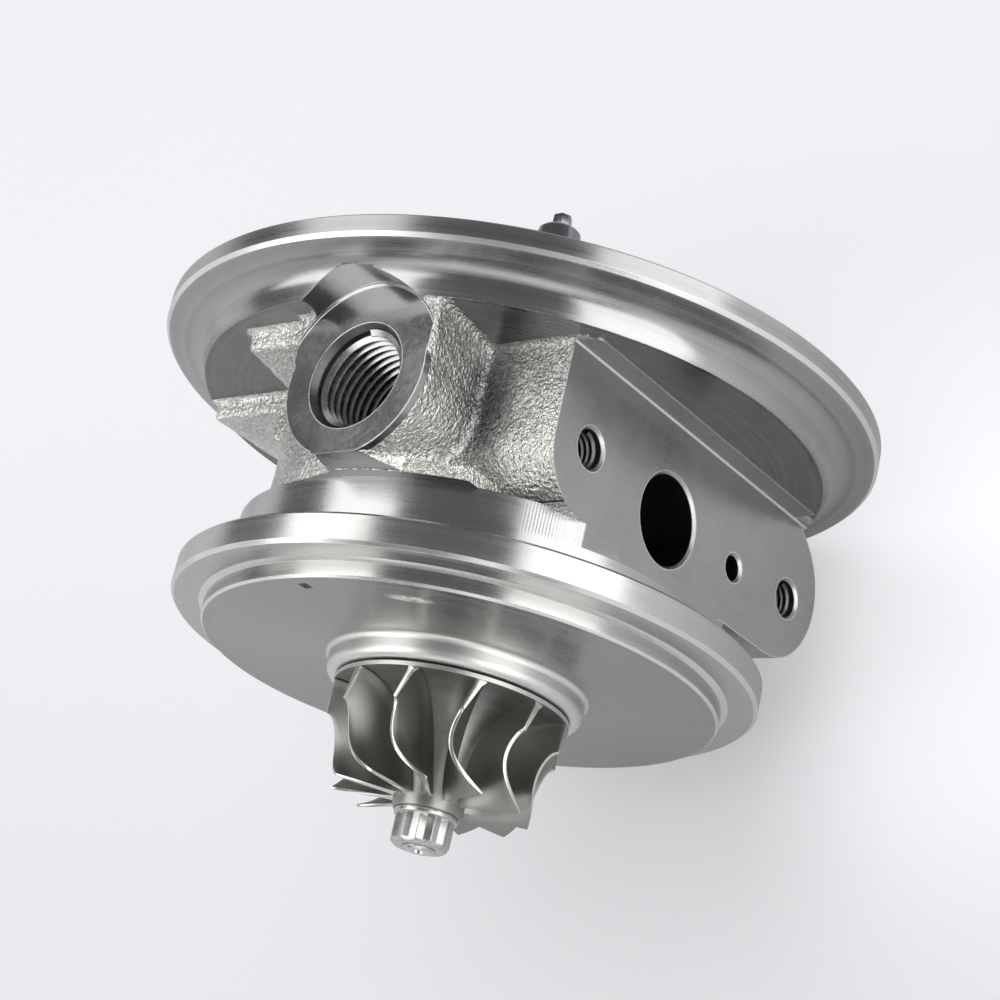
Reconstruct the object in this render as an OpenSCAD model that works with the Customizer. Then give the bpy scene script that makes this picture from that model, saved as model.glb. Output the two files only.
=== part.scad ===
// Turbocharger cartridge: bearing housing, rotor, bearings, seals and back plate.
// The shaft lies along X with the turbine wheel at +X. The origin is on the shaft
// line in the turbine-side face of the big flange. Oil enters from +Z, drains to -Y.

/* [Turbine flange] */
// Outer diameter of the big flange
flange_d = 120; // [116:1:130]
// Thickness of the flange rim
flange_t = 2.9; // [2.5:0.1:4]
// Height of the chamfer on the rim
flange_chamfer = 0.6; // [0.3:0.1:1]
// Radius of the turned cove under the rim
cove_r = 4.5; // [3.5:0.1:5]
// Diameter of the cast plateau inside the cove
plateau_d = 104; // [102:1:106]
// Depth from the rim chamfer down to the start of the cove
cove_start = 1.5; // [1:0.1:2]

/* [Bearing housing] */
// Length from the turbine face to the back plate joint
body_len = 42.4; // [41:0.1:45]
// Diameter of the cast core between flange and collar
core_d = 73; // [70:1:76]
// Fillet where the core meets the plateau
core_fillet = 3; // [2:0.5:4]
// Diameter of the turned collar at the compressor end
collar_d = 80; // [79:0.5:84]
// Length of the turned collar
collar_len = 8.9; // [8.7:0.1:9.6]

/* [Oil inlet] */
// Height of the inlet face above the shaft line
inlet_h = 47; // [45:0.5:49]
// Offset of the inlet from the shaft line towards the drain side
inlet_off = 8.2; // [6:0.1:10]
// Distance of the inlet axis behind the turbine face
inlet_x = 20.3; // [19:0.1:22]
// Width of the cast inlet boss
inlet_boss_d = 28.6; // [27:0.2:30]
// Flare of the boss at its foot, on each side
inlet_flare = 4; // [2:0.5:5]
// Distance of the flat under the boss behind the turbine face
inlet_flat_x = 33; // [32:0.1:33.4]
// Diameter of the spot face cut into the flange
inlet_spot_d = 31.7; // [30:0.1:32.4]
// Tapping diameter of the inlet thread
inlet_tap_d = 14.4; // [13:0.1:15]
// Diameter of the lead-in chamfer
inlet_lead_d = 17.4; // [16.4:0.1:18]
// Depth of the lead-in chamfer
inlet_lead_h = 1.2; // [0.8:0.1:1.6]
// Depth of the tapped inlet
inlet_depth = 17; // [14:0.5:18]
// Diameter of the oil drillings to the bearings
oil_drill_d = 2.6; // [2:0.1:3]

/* [Drain pad] */
// Distance of the pad face from the shaft line
pad_y = 35; // [34.5:0.1:36.5]
// Thickness of the cast pad
pad_t = 14; // [13:0.5:16]
// End of the pad towards the oil inlet
pad_top = 31; // [30:0.5:32]
// End of the pad away from the oil inlet
pad_bottom = 45; // [44:0.5:47]
// Start of the pad behind the turbine face
pad_x0 = 9.5; // [9.2:0.1:10]
// End of the pad behind the turbine face
pad_x1 = 33; // [32:0.1:33.4]
// Corner radius of the lower end of the pad
pad_corner = 7; // [5:0.5:8]
// Width of the machined shelf beside the pad
shelf_w = 5; // [3:0.5:6]
// Depth of the ledge that the pad cutter leaves in the collar
ledge_x = 37.8; // [36:0.1:39]
// Diameter of the oil drain
drain_d = 14.4; // [13:0.1:15]
// Distance of the drain axis behind the turbine face
drain_x = 24.7; // [23.5:0.1:25]
// Depth of the drain bore from the pad face
drain_depth = 24; // [22:0.5:25]
// Distance of the pad screws behind the turbine face
screw_x = 22.9; // [22:0.1:24]
// Height of the upper pad screw above the shaft line
screw_up = 22; // [21:0.5:23]
// Depth of the lower pad screw under the shaft line
screw_down = 36; // [35:0.5:37.5]
// Tapping diameter of the pad screws
screw_tap_d = 5; // [4.6:0.1:5.2]
// Lead-in diameter of the pad screws
screw_lead_d = 6.6; // [6:0.1:7]
// Depth of the tapped pad holes
screw_depth = 11; // [9:0.5:12]
// Distance of the locating hole under the shaft line
dowel_down = 19.5; // [19:0.1:21]
// Diameter of the locating hole
dowel_d = 4; // [3.5:0.1:4.4]
// Depth of the locating hole
dowel_depth = 8; // [6:0.5:9]

/* [Back plate] */
// Outer diameter of the back plate
plate_d = 95.6; // [94:0.2:98]
// Thickness of the back plate rim
plate_t = 4.9; // [4.4:0.1:5.4]
// Diameter of the compressor cover pilot
pilot_d = 84.2; // [83:0.1:85.5]
// Height of the pilot beyond the rim
pilot_h = 3.1; // [2.6:0.1:3.6]
// Diameter of the raised ring around the wheel
ring_d = 41.6; // [41:0.1:43]
// Height of the raised ring above the pilot face
ring_h = 3.6; // [3.2:0.1:4]
// Diameter of the spigot that enters the housing
spigot_d = 57; // [55:0.5:60]
// Length of the spigot
spigot_len = 2.6; // [2.3:0.1:2.7]
// Cross section of the sealing ring in the spigot
oring_d = 1.5; // [1.2:0.1:1.6]

/* [Compressor wheel] */
// Largest diameter of the compressor wheel
cwheel_d = 38.1; // [37:0.1:38.6]
// Diameter across the blade tips at the inlet
cwheel_inlet_d = 32; // [30:0.1:33]
// Hub diameter at the inlet end
cwheel_hub_d = 11.4; // [10.5:0.1:12]
// Axial length from the disc to the blade inlet
cwheel_len = 15.1; // [14:0.1:16]
// Blade height at the outlet
cwheel_outlet_h = 4.1; // [3.6:0.1:4.6]
// Thickness of the back disc at its edge
cwheel_disc_t = 1.7; // [1.4:0.1:2]
// Number of compressor blades
cwheel_blades = 11; // [9:1:11]
// Blade thickness at the tip
cblade_tip_t = 0.6; // [0.5:0.05:0.8]
// Blade thickness at the hub
cblade_root_t = 1.1; // [0.9:0.05:1.3]
// Running gap between the raised ring and the wheel
cwheel_gap = 0.4; // [0.35:0.05:0.6]
// Height of the compressor nut
nut_h = 5.6; // [5:0.1:6]
// Width of the compressor nut over its points
nut_d = 9.6; // [9:0.1:10]

/* [Turbine wheel] */
// Diameter of the turbine wheel
twheel_d = 38; // [36:0.5:40]
// Diameter over the blade tips at the outlet
twheel_outlet_d = 32; // [31:0.5:33]
// Blade width at the wheel inlet
twheel_inlet_w = 5.6; // [5:0.1:6.5]
// Axial length of the turbine blades
twheel_len = 17.5; // [16.5:0.1:18.5]
// Hub diameter at the outlet
twheel_hub_d = 11; // [10:0.1:12]
// Length of the nose beyond the blades
twheel_nose = 10.5; // [9:0.1:11]
// Diameter of the end of the nose
twheel_nose_d = 7.4; // [7:0.1:8]
// Length of the hexagon on the nose
twheel_hex_h = 2.9; // [2.5:0.1:3.2]
// Width of the hexagon over its corners
twheel_hex_d = 3.6; // [3.2:0.1:4]
// Number of turbine blades
twheel_blades = 10; // [8:1:11]
// Turbine blade thickness at the tip
tblade_tip_t = 0.8; // [0.6:0.05:1]
// Turbine blade thickness at the hub
tblade_root_t = 1.6; // [1.2:0.05:1.8]

/* [Shaft and bearings] */
// Diameter of the shaft in the bearings
shaft_d = 8; // [7.6:0.1:8.2]
// Diameter of the shaft under the compressor wheel
stub_d = 5; // [4.6:0.1:5.4]
// Length of the shaft end beyond the nut
stub_over = 0.5; // [0.3:0.1:0.8]
// Outer diameter of the floating bearings
bearing_d = 12.9; // [12.6:0.1:13.2]
// Length of each floating bearing
bearing_len = 7; // [6.5:0.1:7.2]
// Radial oil film on each side of a bearing
film = 0.05; // [0.03:0.01:0.08]
// Axial play of each floating bearing
bearing_play = 0.2; // [0.1:0.05:0.3]
// Thickness of the bearing retaining rings
circlip_t = 0.8; // [0.7:0.05:0.9]
// Depth of the retaining ring grooves
circlip_depth = 0.9; // [0.7:0.05:1]

/* [Thrust and seals] */
// Outer diameter of the thrust bearing
thrust_d = 42; // [40:0.5:44]
// Thickness of the thrust bearing
thrust_t = 3; // [2.8:0.1:3.2]
// Diameter of the thrust collar
thrust_collar_d = 16; // [15:0.5:17]
// Thickness of the thrust collar
thrust_collar_t = 1.2; // [1:0.1:1.3]
// Axial oil film on each side of the thrust bearing
thrust_film = 0.05; // [0.04:0.01:0.1]
// Diameter of the collar neck inside the thrust bearing
neck_d = 9.2; // [8.6:0.1:9.8]
// Shank diameter of the thrust bearing screws
thrust_screw_d = 3; // [2.6:0.1:3.2]
// Diameter of the seal sleeve
sleeve_d = 14.8; // [14:0.1:15.4]
// Diameter of the oil slinger on the sleeve
slinger_d = 22; // [20:0.5:24]
// Diameter of the turbine seal boss
seal_boss_d = 16; // [15:0.1:17]
// Radial running gap at both shaft seals
seal_gap = 0.1; // [0.06:0.01:0.1]
// Axial width of a piston ring
ring_w = 1.2; // [1:0.05:1.4]
// Radial thickness of a piston ring
ring_t = 1.1; // [0.9:0.05:1.3]
// Side gap of a piston ring in its groove
ring_side = 0.05; // [0.03:0.01:0.08]
// Thickness of the heat shield sheet
shield_t = 1; // [0.8:0.1:1.2]
// Diameter of the heat shield
shield_d = 92; // [88:1:96]
// Height of the heat shield dish
shield_h = 4.4; // [4:0.1:4.6]

/* [Hidden] */
$fn = 96;
eps = 0.01;
over = 30;
flange_r = flange_d / 2;
plateau_r = plateau_d / 2;
cove_x = -flange_t - cove_start;
plateau_x = cove_x - cove_r;
joint_x = -body_len;
collar_x = joint_x + collar_len;
core_r = core_d / 2;

// Shaft stations, from the turbine seal to the compressor nut
hub_face_x = 3;
wheel_back_x = shield_h + 1;
weld_x = -3.5;
seal_end_x = -4.5;
bore_x = -6;
groove_w = circlip_t + 0.1;
bearing_gap = bearing_play / 2;
clip1_x = bore_x - 0.5;
bear1_x = clip1_x - circlip_t - bearing_gap;
clip2_x = bear1_x - bearing_len - bearing_gap;
thrust_x = collar_x - 0.4;
collar_back_x = thrust_x - thrust_film + thrust_collar_t + 2 * thrust_film;
bear2_x = collar_back_x + bearing_gap + bearing_len;
clip3_x = bear2_x + bearing_gap + circlip_t;
slinger_x = thrust_x - thrust_t - thrust_film;
deflector_t = 1;
deflector_x = joint_x + spigot_len + deflector_t;
plate_x = joint_x - plate_t;
pilot_x = plate_x - pilot_h;
lip_x = pilot_x - ring_h;
disc_back_x = lip_x - cwheel_gap;
disc_x = disc_back_x - cwheel_disc_t;
inlet_end_x = disc_x - cwheel_len;
nut_x = inlet_end_x - 1.6;
hub_back_x = plate_x - 2.8;
nut_end_x = nut_x - nut_h;
shaft_end_x = nut_end_x - stub_over;

shaft_r = shaft_d / 2;
stub_r = stub_d / 2;
bearing_r = bearing_d / 2;
bore_r = bearing_r + film;
groove_r = bore_r + circlip_depth;
seal_bore_r = seal_boss_d / 2 + seal_gap;
seal_hub_r = seal_bore_r + 5;
sleeve_bore_r = sleeve_d / 2 + seal_gap;
ring1_x = -1.6;
ring2_x = joint_x - plate_t - 0.6;
cavity_r = spigot_d / 2 - 1.6;
spigot_r = spigot_d / 2;
spigot_fit = 0.05;
shield_seat_d = shield_d + 0.4;
shield_ledge = 5;
shield_air = 1.4;
thrust_screw_r = thrust_d / 2 - 4.5;
thrust_screws = 3;
thrust_screw_len = 9;
thrust_head_d = 5.4;
thrust_head_h = 1.6;
hub_boss_r = 9;
// Blade outlets end just inside the rim of the wheel
cblade_r = cwheel_d / 2 - 0.12;
cblade_phase = -166;
pin_d = 3;
pin_r = spigot_r + 5;
pin_len = 5;
drain_room = 13;
drain_room_y = drain_depth - pad_y - 1;

// Points of an arc, for a profile
function arc(c, r, a0, a1, n = 8) =
    [for (i = [0 : n]) c + r * [cos(a0 + (a1 - a0) * i / n), sin(a0 + (a1 - a0) * i / n)]];

// Part of a way from a to b
function mix(a, b, t) = a + (b - a) * t;

// Body turned about the shaft line from a profile of [radius, x] points
module turned(profile) {
    rotate([0, 90, 0])
        rotate_extrude()
            polygon(profile);
}

// Cylinder on the shaft line between two stations
module rod(r, x0, x1) {
    translate([x0, 0, 0])
        rotate([0, 90, 0])
            cylinder(r = r, h = x1 - x0);
}

// Ring on the shaft line between two stations
module collar(r_out, r_in, x0, x1) {
    difference() {
        rod(r_out, x0, x1);
        rod(r_in, x0 - 1, x1 + 1);
    }
}

// Hole drilled into the drain pad along +Y, with a lead-in chamfer
module pad_hole(x, z, d, depth, lead_d) {
    lead = (lead_d - d) / 2;
    translate([-x, -pad_y, z])
        rotate([-90, 0, 0]) {
            translate([0, 0, -eps])
                cylinder(d = d, h = depth + eps);
            translate([0, 0, -eps])
                cylinder(d1 = lead_d + 2 * eps, d2 = d, h = lead + eps);
        }
}

// Flange, plateau, core and collar in one turned profile
module housing_core() {
    turned(concat(
        [[0, 0], [flange_r, 0]],
        [[flange_r, -flange_t], [flange_r - flange_chamfer, -flange_t - flange_chamfer]],
        [[plateau_r + cove_r, cove_x]],
        arc([plateau_r + cove_r, plateau_x], cove_r, 90, 180),
        [[core_r + core_fillet, plateau_x]],
        arc([core_r + core_fillet, plateau_x - core_fillet], core_fillet, 90, 180),
        [[core_r, collar_x], [collar_d / 2 - 0.4, collar_x]],
        [[collar_d / 2, collar_x - 0.4], [collar_d / 2, joint_x], [0, joint_x]]
    ));
    rod(seal_hub_r, -1, hub_face_x);
}

// Outline of the drain pad in X and Z, rounded at the lower end
module pad_outline() {
    c = pad_corner;
    polygon(concat(
        [[-pad_x0, pad_top], [-pad_x0, -pad_bottom + c]],
        arc([-pad_x0 - c, -pad_bottom + c], c, 0, -90),
        arc([-pad_x1 + c, -pad_bottom + c], c, -90, -180),
        [[-pad_x1, pad_top - 8]],
        arc([-pad_x1 + 10, pad_top - 11], 10, 150, 100),
        [[-pad_x0 - 9, pad_top - 0.6]]
    ));
}

// Flat drain pad cast on the side of the core
module drain_pad() {
    translate([0, pad_t - pad_y, 0])
        rotate([90, 0, 0])
            linear_extrude(pad_t)
                pad_outline();
    translate([-pad_x0, -pad_y - shelf_w, -plateau_r + shelf_w * 4])
        cube([pad_x0 + plateau_x + 1, pad_t + shelf_w, plateau_r * 2 - shelf_w * 8]);
}

// Boss of the oil inlet, flat underneath, running into the flange
module inlet_boss() {
    w = inlet_boss_d;
    intersection() {
        union() {
            translate([-inlet_x, -inlet_off, 0])
                cylinder(d = w, h = inlet_h);
            translate([-inlet_x, -inlet_off, core_r - 16])
                cylinder(d1 = w + 2 * inlet_flare, d2 = w, h = inlet_h - core_r + 12);
            translate([-inlet_x, -inlet_off - w / 2, 0])
                cube([inlet_x + plateau_x + 2, w, inlet_h]);
        }
        translate([-inlet_flat_x, -over, 0])
            cube([inlet_flat_x, over * 2, inlet_h]);
    }
    // Sloping web beside the boss on the plateau
    web_y = inlet_boss_d / 2 - inlet_off - 1;
    translate([0, 0, core_r - 8])
        linear_extrude(inlet_h - core_r + 6)
            polygon([
                [plateau_x + 1, web_y], [plateau_x + 1, web_y + 15],
                [plateau_x - 2, web_y + 15], [plateau_x - 9, web_y]
            ]);
}

// Tapped inlet with its spot face and the two oil drillings
module inlet_cuts() {
    translate([-inlet_x, -inlet_off, inlet_h]) {
        cylinder(d = inlet_spot_d, h = over);
        translate([0, 0, -inlet_depth])
            cylinder(d = inlet_tap_d, h = inlet_depth + eps);
        translate([0, 0, -inlet_lead_h])
            cylinder(d1 = inlet_tap_d, d2 = inlet_lead_d, h = inlet_lead_h + eps);
    }
    for (x = [bear1_x - bearing_len / 2, bear2_x - bearing_len / 2])
        oil_drilling(x);
}

// Drilling from the bottom of the inlet down to one bearing
module oil_drilling(x) {
    from = [-inlet_x, -inlet_off, inlet_h - inlet_depth - 1.5];
    to = [x, 0, bore_r - 1];
    v = from - to;
    translate(to)
        rotate([0, acos(v[2] / norm(v)), atan2(v[1], v[0])])
            cylinder(d = oil_drill_d, h = norm(v) + 2);
}

// Bores along the shaft line, with the retaining ring grooves
module shaft_bores() {
    rod(seal_bore_r, seal_end_x, over);
    rod(groove_r + 2, bore_x, seal_end_x + eps);
    rod(bore_r, thrust_x - eps, bore_x + eps);
    rod(thrust_collar_d / 2 + 0.4, thrust_x - eps, collar_back_x + 0.3);
    for (x = [clip1_x, clip2_x, clip3_x])
        rod(groove_r, x - circlip_t - 0.05, x + 0.05);
    rod(cavity_r, joint_x - 1, thrust_x);
    rod(spigot_r + spigot_fit, joint_x - 1, deflector_x);
}

// Seat of the heat shield and the air gap behind it, around the seal hub
module shield_seat() {
    difference() {
        union() {
            rod(shield_seat_d / 2, -shield_t, over);
            rod(shield_seat_d / 2 - shield_ledge, -shield_t - shield_air, over);
        }
        rod(seal_hub_r, -over, over * 2);
    }
}

// Bolt holes for the thrust bearing screws
module thrust_screw_places() {
    for (i = [0 : thrust_screws - 1])
        rotate([i * 360 / thrust_screws, 0, 0])
            translate([0, thrust_screw_r, 0])
                children();
}

// Everything cut into the drain pad
module pad_cuts() {
    pad_hole(drain_x, 0, drain_d, drain_depth, drain_d + 0.8);
    pad_hole(screw_x, screw_up, screw_tap_d, screw_depth, screw_lead_d);
    pad_hole(screw_x, -screw_down, screw_tap_d, screw_depth, screw_lead_d);
    pad_hole(drain_x - 0.3, -dowel_down, dowel_d, dowel_depth, dowel_d + 0.8);
    translate([-ledge_x, -pad_y - over, -over * 2])
        cube([ledge_x - pad_x0, over, over * 4]);
    // Room that joins the thrust cavity to the drain
    translate([thrust_x - 1, drain_room_y - drain_room, -drain_d / 2 + 1])
        cube([-drain_x - thrust_x + 1, drain_room, drain_d - 2]);
}

module bearing_housing() {
    color([0.55, 0.55, 0.56])
        difference() {
            union() {
                housing_core();
                drain_pad();
                inlet_boss();
            }
            shaft_bores();
            shield_seat();
            inlet_cuts();
            pad_cuts();
            thrust_screw_places()
                rod(thrust_screw_d / 2, thrust_x - 1, thrust_x - thrust_t + thrust_screw_len);
            pin_hole();
        }
}

// Blind hole for the back plate pin, half in each piece
module pin_hole() {
    rotate([40, 0, 0])
        translate([0, pin_r, 0])
            rod(pin_d / 2, joint_x - pin_len / 2, joint_x + pin_len / 2);
}

module back_plate_pin() {
    color([0.6, 0.6, 0.62])
        pin_hole();
}

module compressor_back_plate() {
    pilot_r = pilot_d / 2;
    ring_r = ring_d / 2;
    plate_r = plate_d / 2;
    groove_x = joint_x + spigot_len / 2;
    lip_r = ring_r - 1.4;
    bowl_r = cwheel_d / 2 - 1.2;
    color([0.66, 0.66, 0.67])
        difference() {
            turned(concat(
                [[sleeve_bore_r, joint_x + spigot_len], [spigot_r, joint_x + spigot_len]],
                [[spigot_r, joint_x], [plate_r - 0.4, joint_x], [plate_r, joint_x - 0.4]],
                [[plate_r, plate_x + 0.6], [plate_r - 0.6, plate_x]],
                [[pilot_r + 1, plate_x - 0.1], [pilot_r, plate_x - 0.6]],
                [[pilot_r, pilot_x + 0.4], [pilot_r - 0.4, pilot_x]],
                [[ring_r + 1, pilot_x]],
                arc([ring_r + 1, pilot_x - 1], 1, 90, 180, 4),
                arc([lip_r, lip_x + 1.4], 1.4, 0, -90, 6),
                [[bowl_r, lip_x], [bowl_r, pilot_x - 0.4]],
                [[hub_boss_r + 1, pilot_x - 0.4], [hub_boss_r + 1, hub_back_x + 0.2]],
                [[sleeve_bore_r, hub_back_x + 0.2]]
            ));
            collar(spigot_r + 1, spigot_r - oring_d, groove_x - oring_d / 2, groove_x + oring_d / 2);
            pin_hole();
            relief(cavity_r - 4, joint_x + 1);
        }
}

// Shallow turned room for the slinger behind the back plate
module relief(r, x) {
    rod(r, x, joint_x + spigot_len + 1);
}

module back_plate_o_ring() {
    groove_x = joint_x + spigot_len / 2;
    color([0.1, 0.1, 0.1])
        translate([groove_x, 0, 0])
            rotate([0, 90, 0])
                rotate_extrude()
                    translate([spigot_r - oring_d / 2 + spigot_fit / 2, 0])
                        circle(d = oring_d, $fn = 24);
}

module heat_shield() {
    r = shield_d / 2;
    t = shield_t;
    h = shield_h;
    eye = seal_boss_d / 2 + 2.5;
    color([0.45, 0.43, 0.42])
        turned([
            [eye, h - t], [eye + 9, h - t], [r - shield_ledge - 8, -t], [r, -t],
            [r, 0], [r - shield_ledge - 7.4, 0], [eye + 9.4, h], [eye, h]
        ]);
}

module rotor_shaft() {
    color([0.72, 0.72, 0.74])
        difference() {
            turned([
                [0, weld_x], [shaft_r + 1.5, weld_x], [shaft_r, weld_x - 1.5],
                [shaft_r, collar_back_x], [stub_r, collar_back_x],
                [stub_r, shaft_end_x + 0.4], [stub_r - 0.4, shaft_end_x], [0, shaft_end_x]
            ]);
            translate([shaft_end_x, 0, 0])
                rotate([0, 90, 0])
                    translate([0, 0, -eps])
                        cylinder(r1 = stub_r * 0.44, r2 = stub_r * 0.2, h = 1.6);
        }
}

// Wheel hub turned in flat facets, so that the blades join it cleanly.
// The profile of [radius, x] points runs towards +X.
module faceted_hub(profile, n) {
    m = len(profile);
    points = [
        for (p = profile, k = [0 : n - 1])
            let (a = 360 * k / n) [p[1], p[0] * sin(a), -p[0] * cos(a)]
    ];
    faces = concat(
        [[for (k = [0 : n - 1]) k]],
        [[for (k = [n - 1 : -1 : 0]) (m - 1) * n + k]],
        [for (i = [0 : m - 2], k = [0 : n - 1])
            let (next = (k + 1) % n)
            [i * n + k, (i + 1) * n + k, (i + 1) * n + next, i * n + next]]
    );
    polyhedron(points = points, faces = faces, convexity = 4);
}

// One blade as a closed shell over a grid of points: first one side, then the other
module blade_shell(grid, n_s, n_t) {
    side = (n_s + 1) * (n_t + 1);
    function at(k, i, j) = k * side + i * (n_t + 1) + j;
    faces = concat(
        [for (i = [0 : n_s - 1], j = [0 : n_t - 1], q = [0, 1])
            q == 0 ? [at(0, i, j), at(0, i + 1, j), at(0, i + 1, j + 1)]
                   : [at(0, i, j), at(0, i + 1, j + 1), at(0, i, j + 1)]],
        [for (i = [0 : n_s - 1], j = [0 : n_t - 1], q = [0, 1])
            q == 0 ? [at(1, i, j), at(1, i + 1, j + 1), at(1, i + 1, j)]
                   : [at(1, i, j), at(1, i, j + 1), at(1, i + 1, j + 1)]],
        [for (i = [0 : n_s - 1], q = [0, 1])
            q == 0 ? [at(0, i, 0), at(1, i, 0), at(1, i + 1, 0)]
                   : [at(0, i, 0), at(1, i + 1, 0), at(0, i + 1, 0)]],
        [for (i = [0 : n_s - 1], q = [0, 1])
            q == 0 ? [at(0, i, n_t), at(1, i + 1, n_t), at(1, i, n_t)]
                   : [at(0, i, n_t), at(0, i + 1, n_t), at(1, i + 1, n_t)]],
        [for (j = [0 : n_t - 1], q = [0, 1])
            q == 0 ? [at(0, 0, j), at(1, 0, j + 1), at(1, 0, j)]
                   : [at(0, 0, j), at(0, 0, j + 1), at(1, 0, j + 1)]],
        [for (j = [0 : n_t - 1], q = [0, 1])
            q == 0 ? [at(0, n_s, j), at(1, n_s, j), at(1, n_s, j + 1)]
                   : [at(0, n_s, j), at(1, n_s, j + 1), at(0, n_s, j + 1)]]
    );
    polyhedron(points = grid, faces = faces, convexity = 4);
}

// Point about the shaft line, at a sideways offset along the arc
function around(p, off) =
    let (a = p[2] + off / p[1] * 180 / PI) [p[0], p[1] * sin(a), -p[1] * cos(a)];

// Meridian of the compressor hub and shroud, s from inlet 0 to outlet 1
function chub(s) = [
    mix(inlet_end_x, disc_x, sin(90 * s)),
    cblade_r - (cblade_r - cwheel_hub_d / 2) * cos(90 * s)
];
function cshroud(s) = [
    mix(inlet_end_x, disc_x - cwheel_outlet_h, sin(90 * s)),
    cblade_r - (cblade_r - cwheel_inlet_d / 2) * cos(90 * s)
];
// Wrap of the blade along the hub and along the shroud, in degrees
function chub_wrap(s) = let (u = 1 - sin(90 * s)) 5.8 + 4 * u + 13.2 * pow(u, 3);
function cshroud_wrap(s) = let (u = 1 - sin(90 * s)) -10 * u + 33 * pow(u, 3);
function cblade_at(s, t) =
    let (h = chub(s), c = cshroud(s), p = mix(h, c, t))
    [p[0], p[1], mix(chub_wrap(s), cshroud_wrap(s), t)];
// Blades start a little inside the hub, so that they join it
function cblade_grid(n_s, n_t) = [
    for (k = [-1, 1], i = [0 : n_s], j = [0 : n_t])
        let (t = -0.05 + 1.05 * j / n_t, s = i / n_s)
        around(cblade_at(s, t), k * mix(cblade_root_t, cblade_tip_t, t) / 2)
];

module compressor_wheel() {
    rim_r = cwheel_d / 2;
    steps = 12;
    hub = [for (i = [1 : steps - 1]) let (p = chub(i / steps)) [p[1], p[0]]];
    color([0.7, 0.7, 0.68])
        difference() {
            union() {
                faceted_hub(concat(
                    [[cwheel_hub_d / 2 - 0.3, nut_x], [cwheel_hub_d / 2, inlet_end_x - 0.8]],
                    hub,
                    [[rim_r, disc_x], [rim_r, disc_back_x]],
                    [[hub_boss_r, disc_back_x], [hub_boss_r, hub_back_x]]
                ), cwheel_blades * 6);
                for (i = [0 : cwheel_blades - 1])
                    rotate([cblade_phase + i * 360 / cwheel_blades, 0, 0])
                        blade_shell(cblade_grid(14, 4), 14, 4);
            }
            rod(stub_r, nut_x - 1, hub_back_x + 1);
        }
}

// Twelve-point nut: two hexagons turned against each other
module compressor_nut() {
    color([0.78, 0.78, 0.78])
        difference() {
            translate([nut_end_x, 0, 0])
                rotate([0, 90, 0])
                    intersection() {
                        union() {
                            cylinder(d = nut_d, h = nut_h, $fn = 6);
                            rotate([0, 0, 30])
                                cylinder(d = nut_d, h = nut_h, $fn = 6);
                            translate([0, 0, nut_h - 1])
                                cylinder(d = nut_d + 0.6, h = 1);
                        }
                        cylinder(d1 = nut_d - 1.4, d2 = nut_d - 1.4 + 2 * nut_h, h = nut_h);
                    }
            rod(stub_r, nut_end_x - 1, nut_x + 1);
        }
}

// Meridian of the turbine hub and shroud, s from outlet 0 to inlet 1
function thub(s) = [
    mix(wheel_back_x + twheel_len, wheel_back_x + 1.4, sin(90 * s)),
    twheel_d / 2 - (twheel_d - twheel_hub_d) / 2 * cos(90 * s)
];
function tshroud(s) = [
    mix(wheel_back_x + twheel_len, wheel_back_x + twheel_inlet_w + 1.4, sin(90 * s)),
    twheel_d / 2 - (twheel_d - twheel_outlet_d) / 2 * cos(90 * s)
];
function tblade_at(s, t) =
    let (h = thub(s), c = tshroud(s), p = mix(h, c, t), u = 1 - sin(90 * s))
    [p[0], p[1], -mix(16, 44, t) * pow(u, 1.6)];
function tblade_grid(n_s, n_t) = [
    for (k = [1, -1], i = [0 : n_s], j = [0 : n_t])
        let (t = -0.08 + 1.08 * j / n_t, s = i / n_s)
        around(tblade_at(s, t), k * mix(tblade_root_t, tblade_tip_t, t) / 2)
];

module turbine_wheel() {
    steps = 12;
    hub = [for (i = [steps - 1 : -1 : 1]) let (p = thub(i / steps)) [p[1], p[0]]];
    tip_x = wheel_back_x + twheel_len;
    nose_x = tip_x + twheel_nose;
    rim_r = thub((steps - 1) / steps)[1] + 0.3;
    color([0.36, 0.35, 0.34]) {
        difference() {
            rod(seal_boss_d / 2, weld_x, wheel_back_x + 0.6);
            collar(seal_boss_d, seal_boss_d / 2 + seal_gap - ring_t - 0.4,
                ring1_x - ring_side, ring1_x + ring_w + ring_side);
        }
        faceted_hub(concat(
            [[rim_r, wheel_back_x], [rim_r, wheel_back_x + 1.2]],
            hub,
            [[twheel_nose_d / 2 + 0.6, tip_x + 4], [twheel_nose_d / 2, nose_x]]
        ), twheel_blades * 6);
        translate([nose_x - 1, 0, 0])
            rotate([0, 90, 0])
                cylinder(d = twheel_hex_d, h = twheel_hex_h + 1, $fn = 6);
        for (i = [0 : twheel_blades - 1])
            rotate([i * 360 / twheel_blades, 0, 0])
                blade_shell(tblade_grid(10, 3), 10, 3);
    }
}

// Split sealing ring that springs against its bore
module piston_ring(r, x) {
    color([0.5, 0.5, 0.52])
        difference() {
            collar(r, r - ring_t, x, x + ring_w);
            translate([x - 1, 0, 0])
                translate([0, -0.2, 0])
                    cube([ring_w + 2, 0.4, r + 1]);
        }
}

module turbine_piston_ring() {
    piston_ring(seal_bore_r, ring1_x);
}

module compressor_piston_ring() {
    piston_ring(sleeve_bore_r, ring2_x);
}

// Floating bearing with its oil holes and end chamfers
module journal_bearing(x) {
    c = 0.4;
    r_in = shaft_r + film;
    color([0.76, 0.62, 0.32])
        difference() {
            turned([
                [r_in, x - bearing_len], [bearing_r - c, x - bearing_len],
                [bearing_r, x - bearing_len + c], [bearing_r, x - c],
                [bearing_r - c, x], [r_in, x]
            ]);
            for (a = [0, 60, 120])
                rotate([a, 0, 0])
                    translate([x - bearing_len / 2, 0, -over / 2])
                        cylinder(d = 1.6, h = over);
        }
}

module turbine_journal_bearing() {
    journal_bearing(bear1_x);
}

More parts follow.
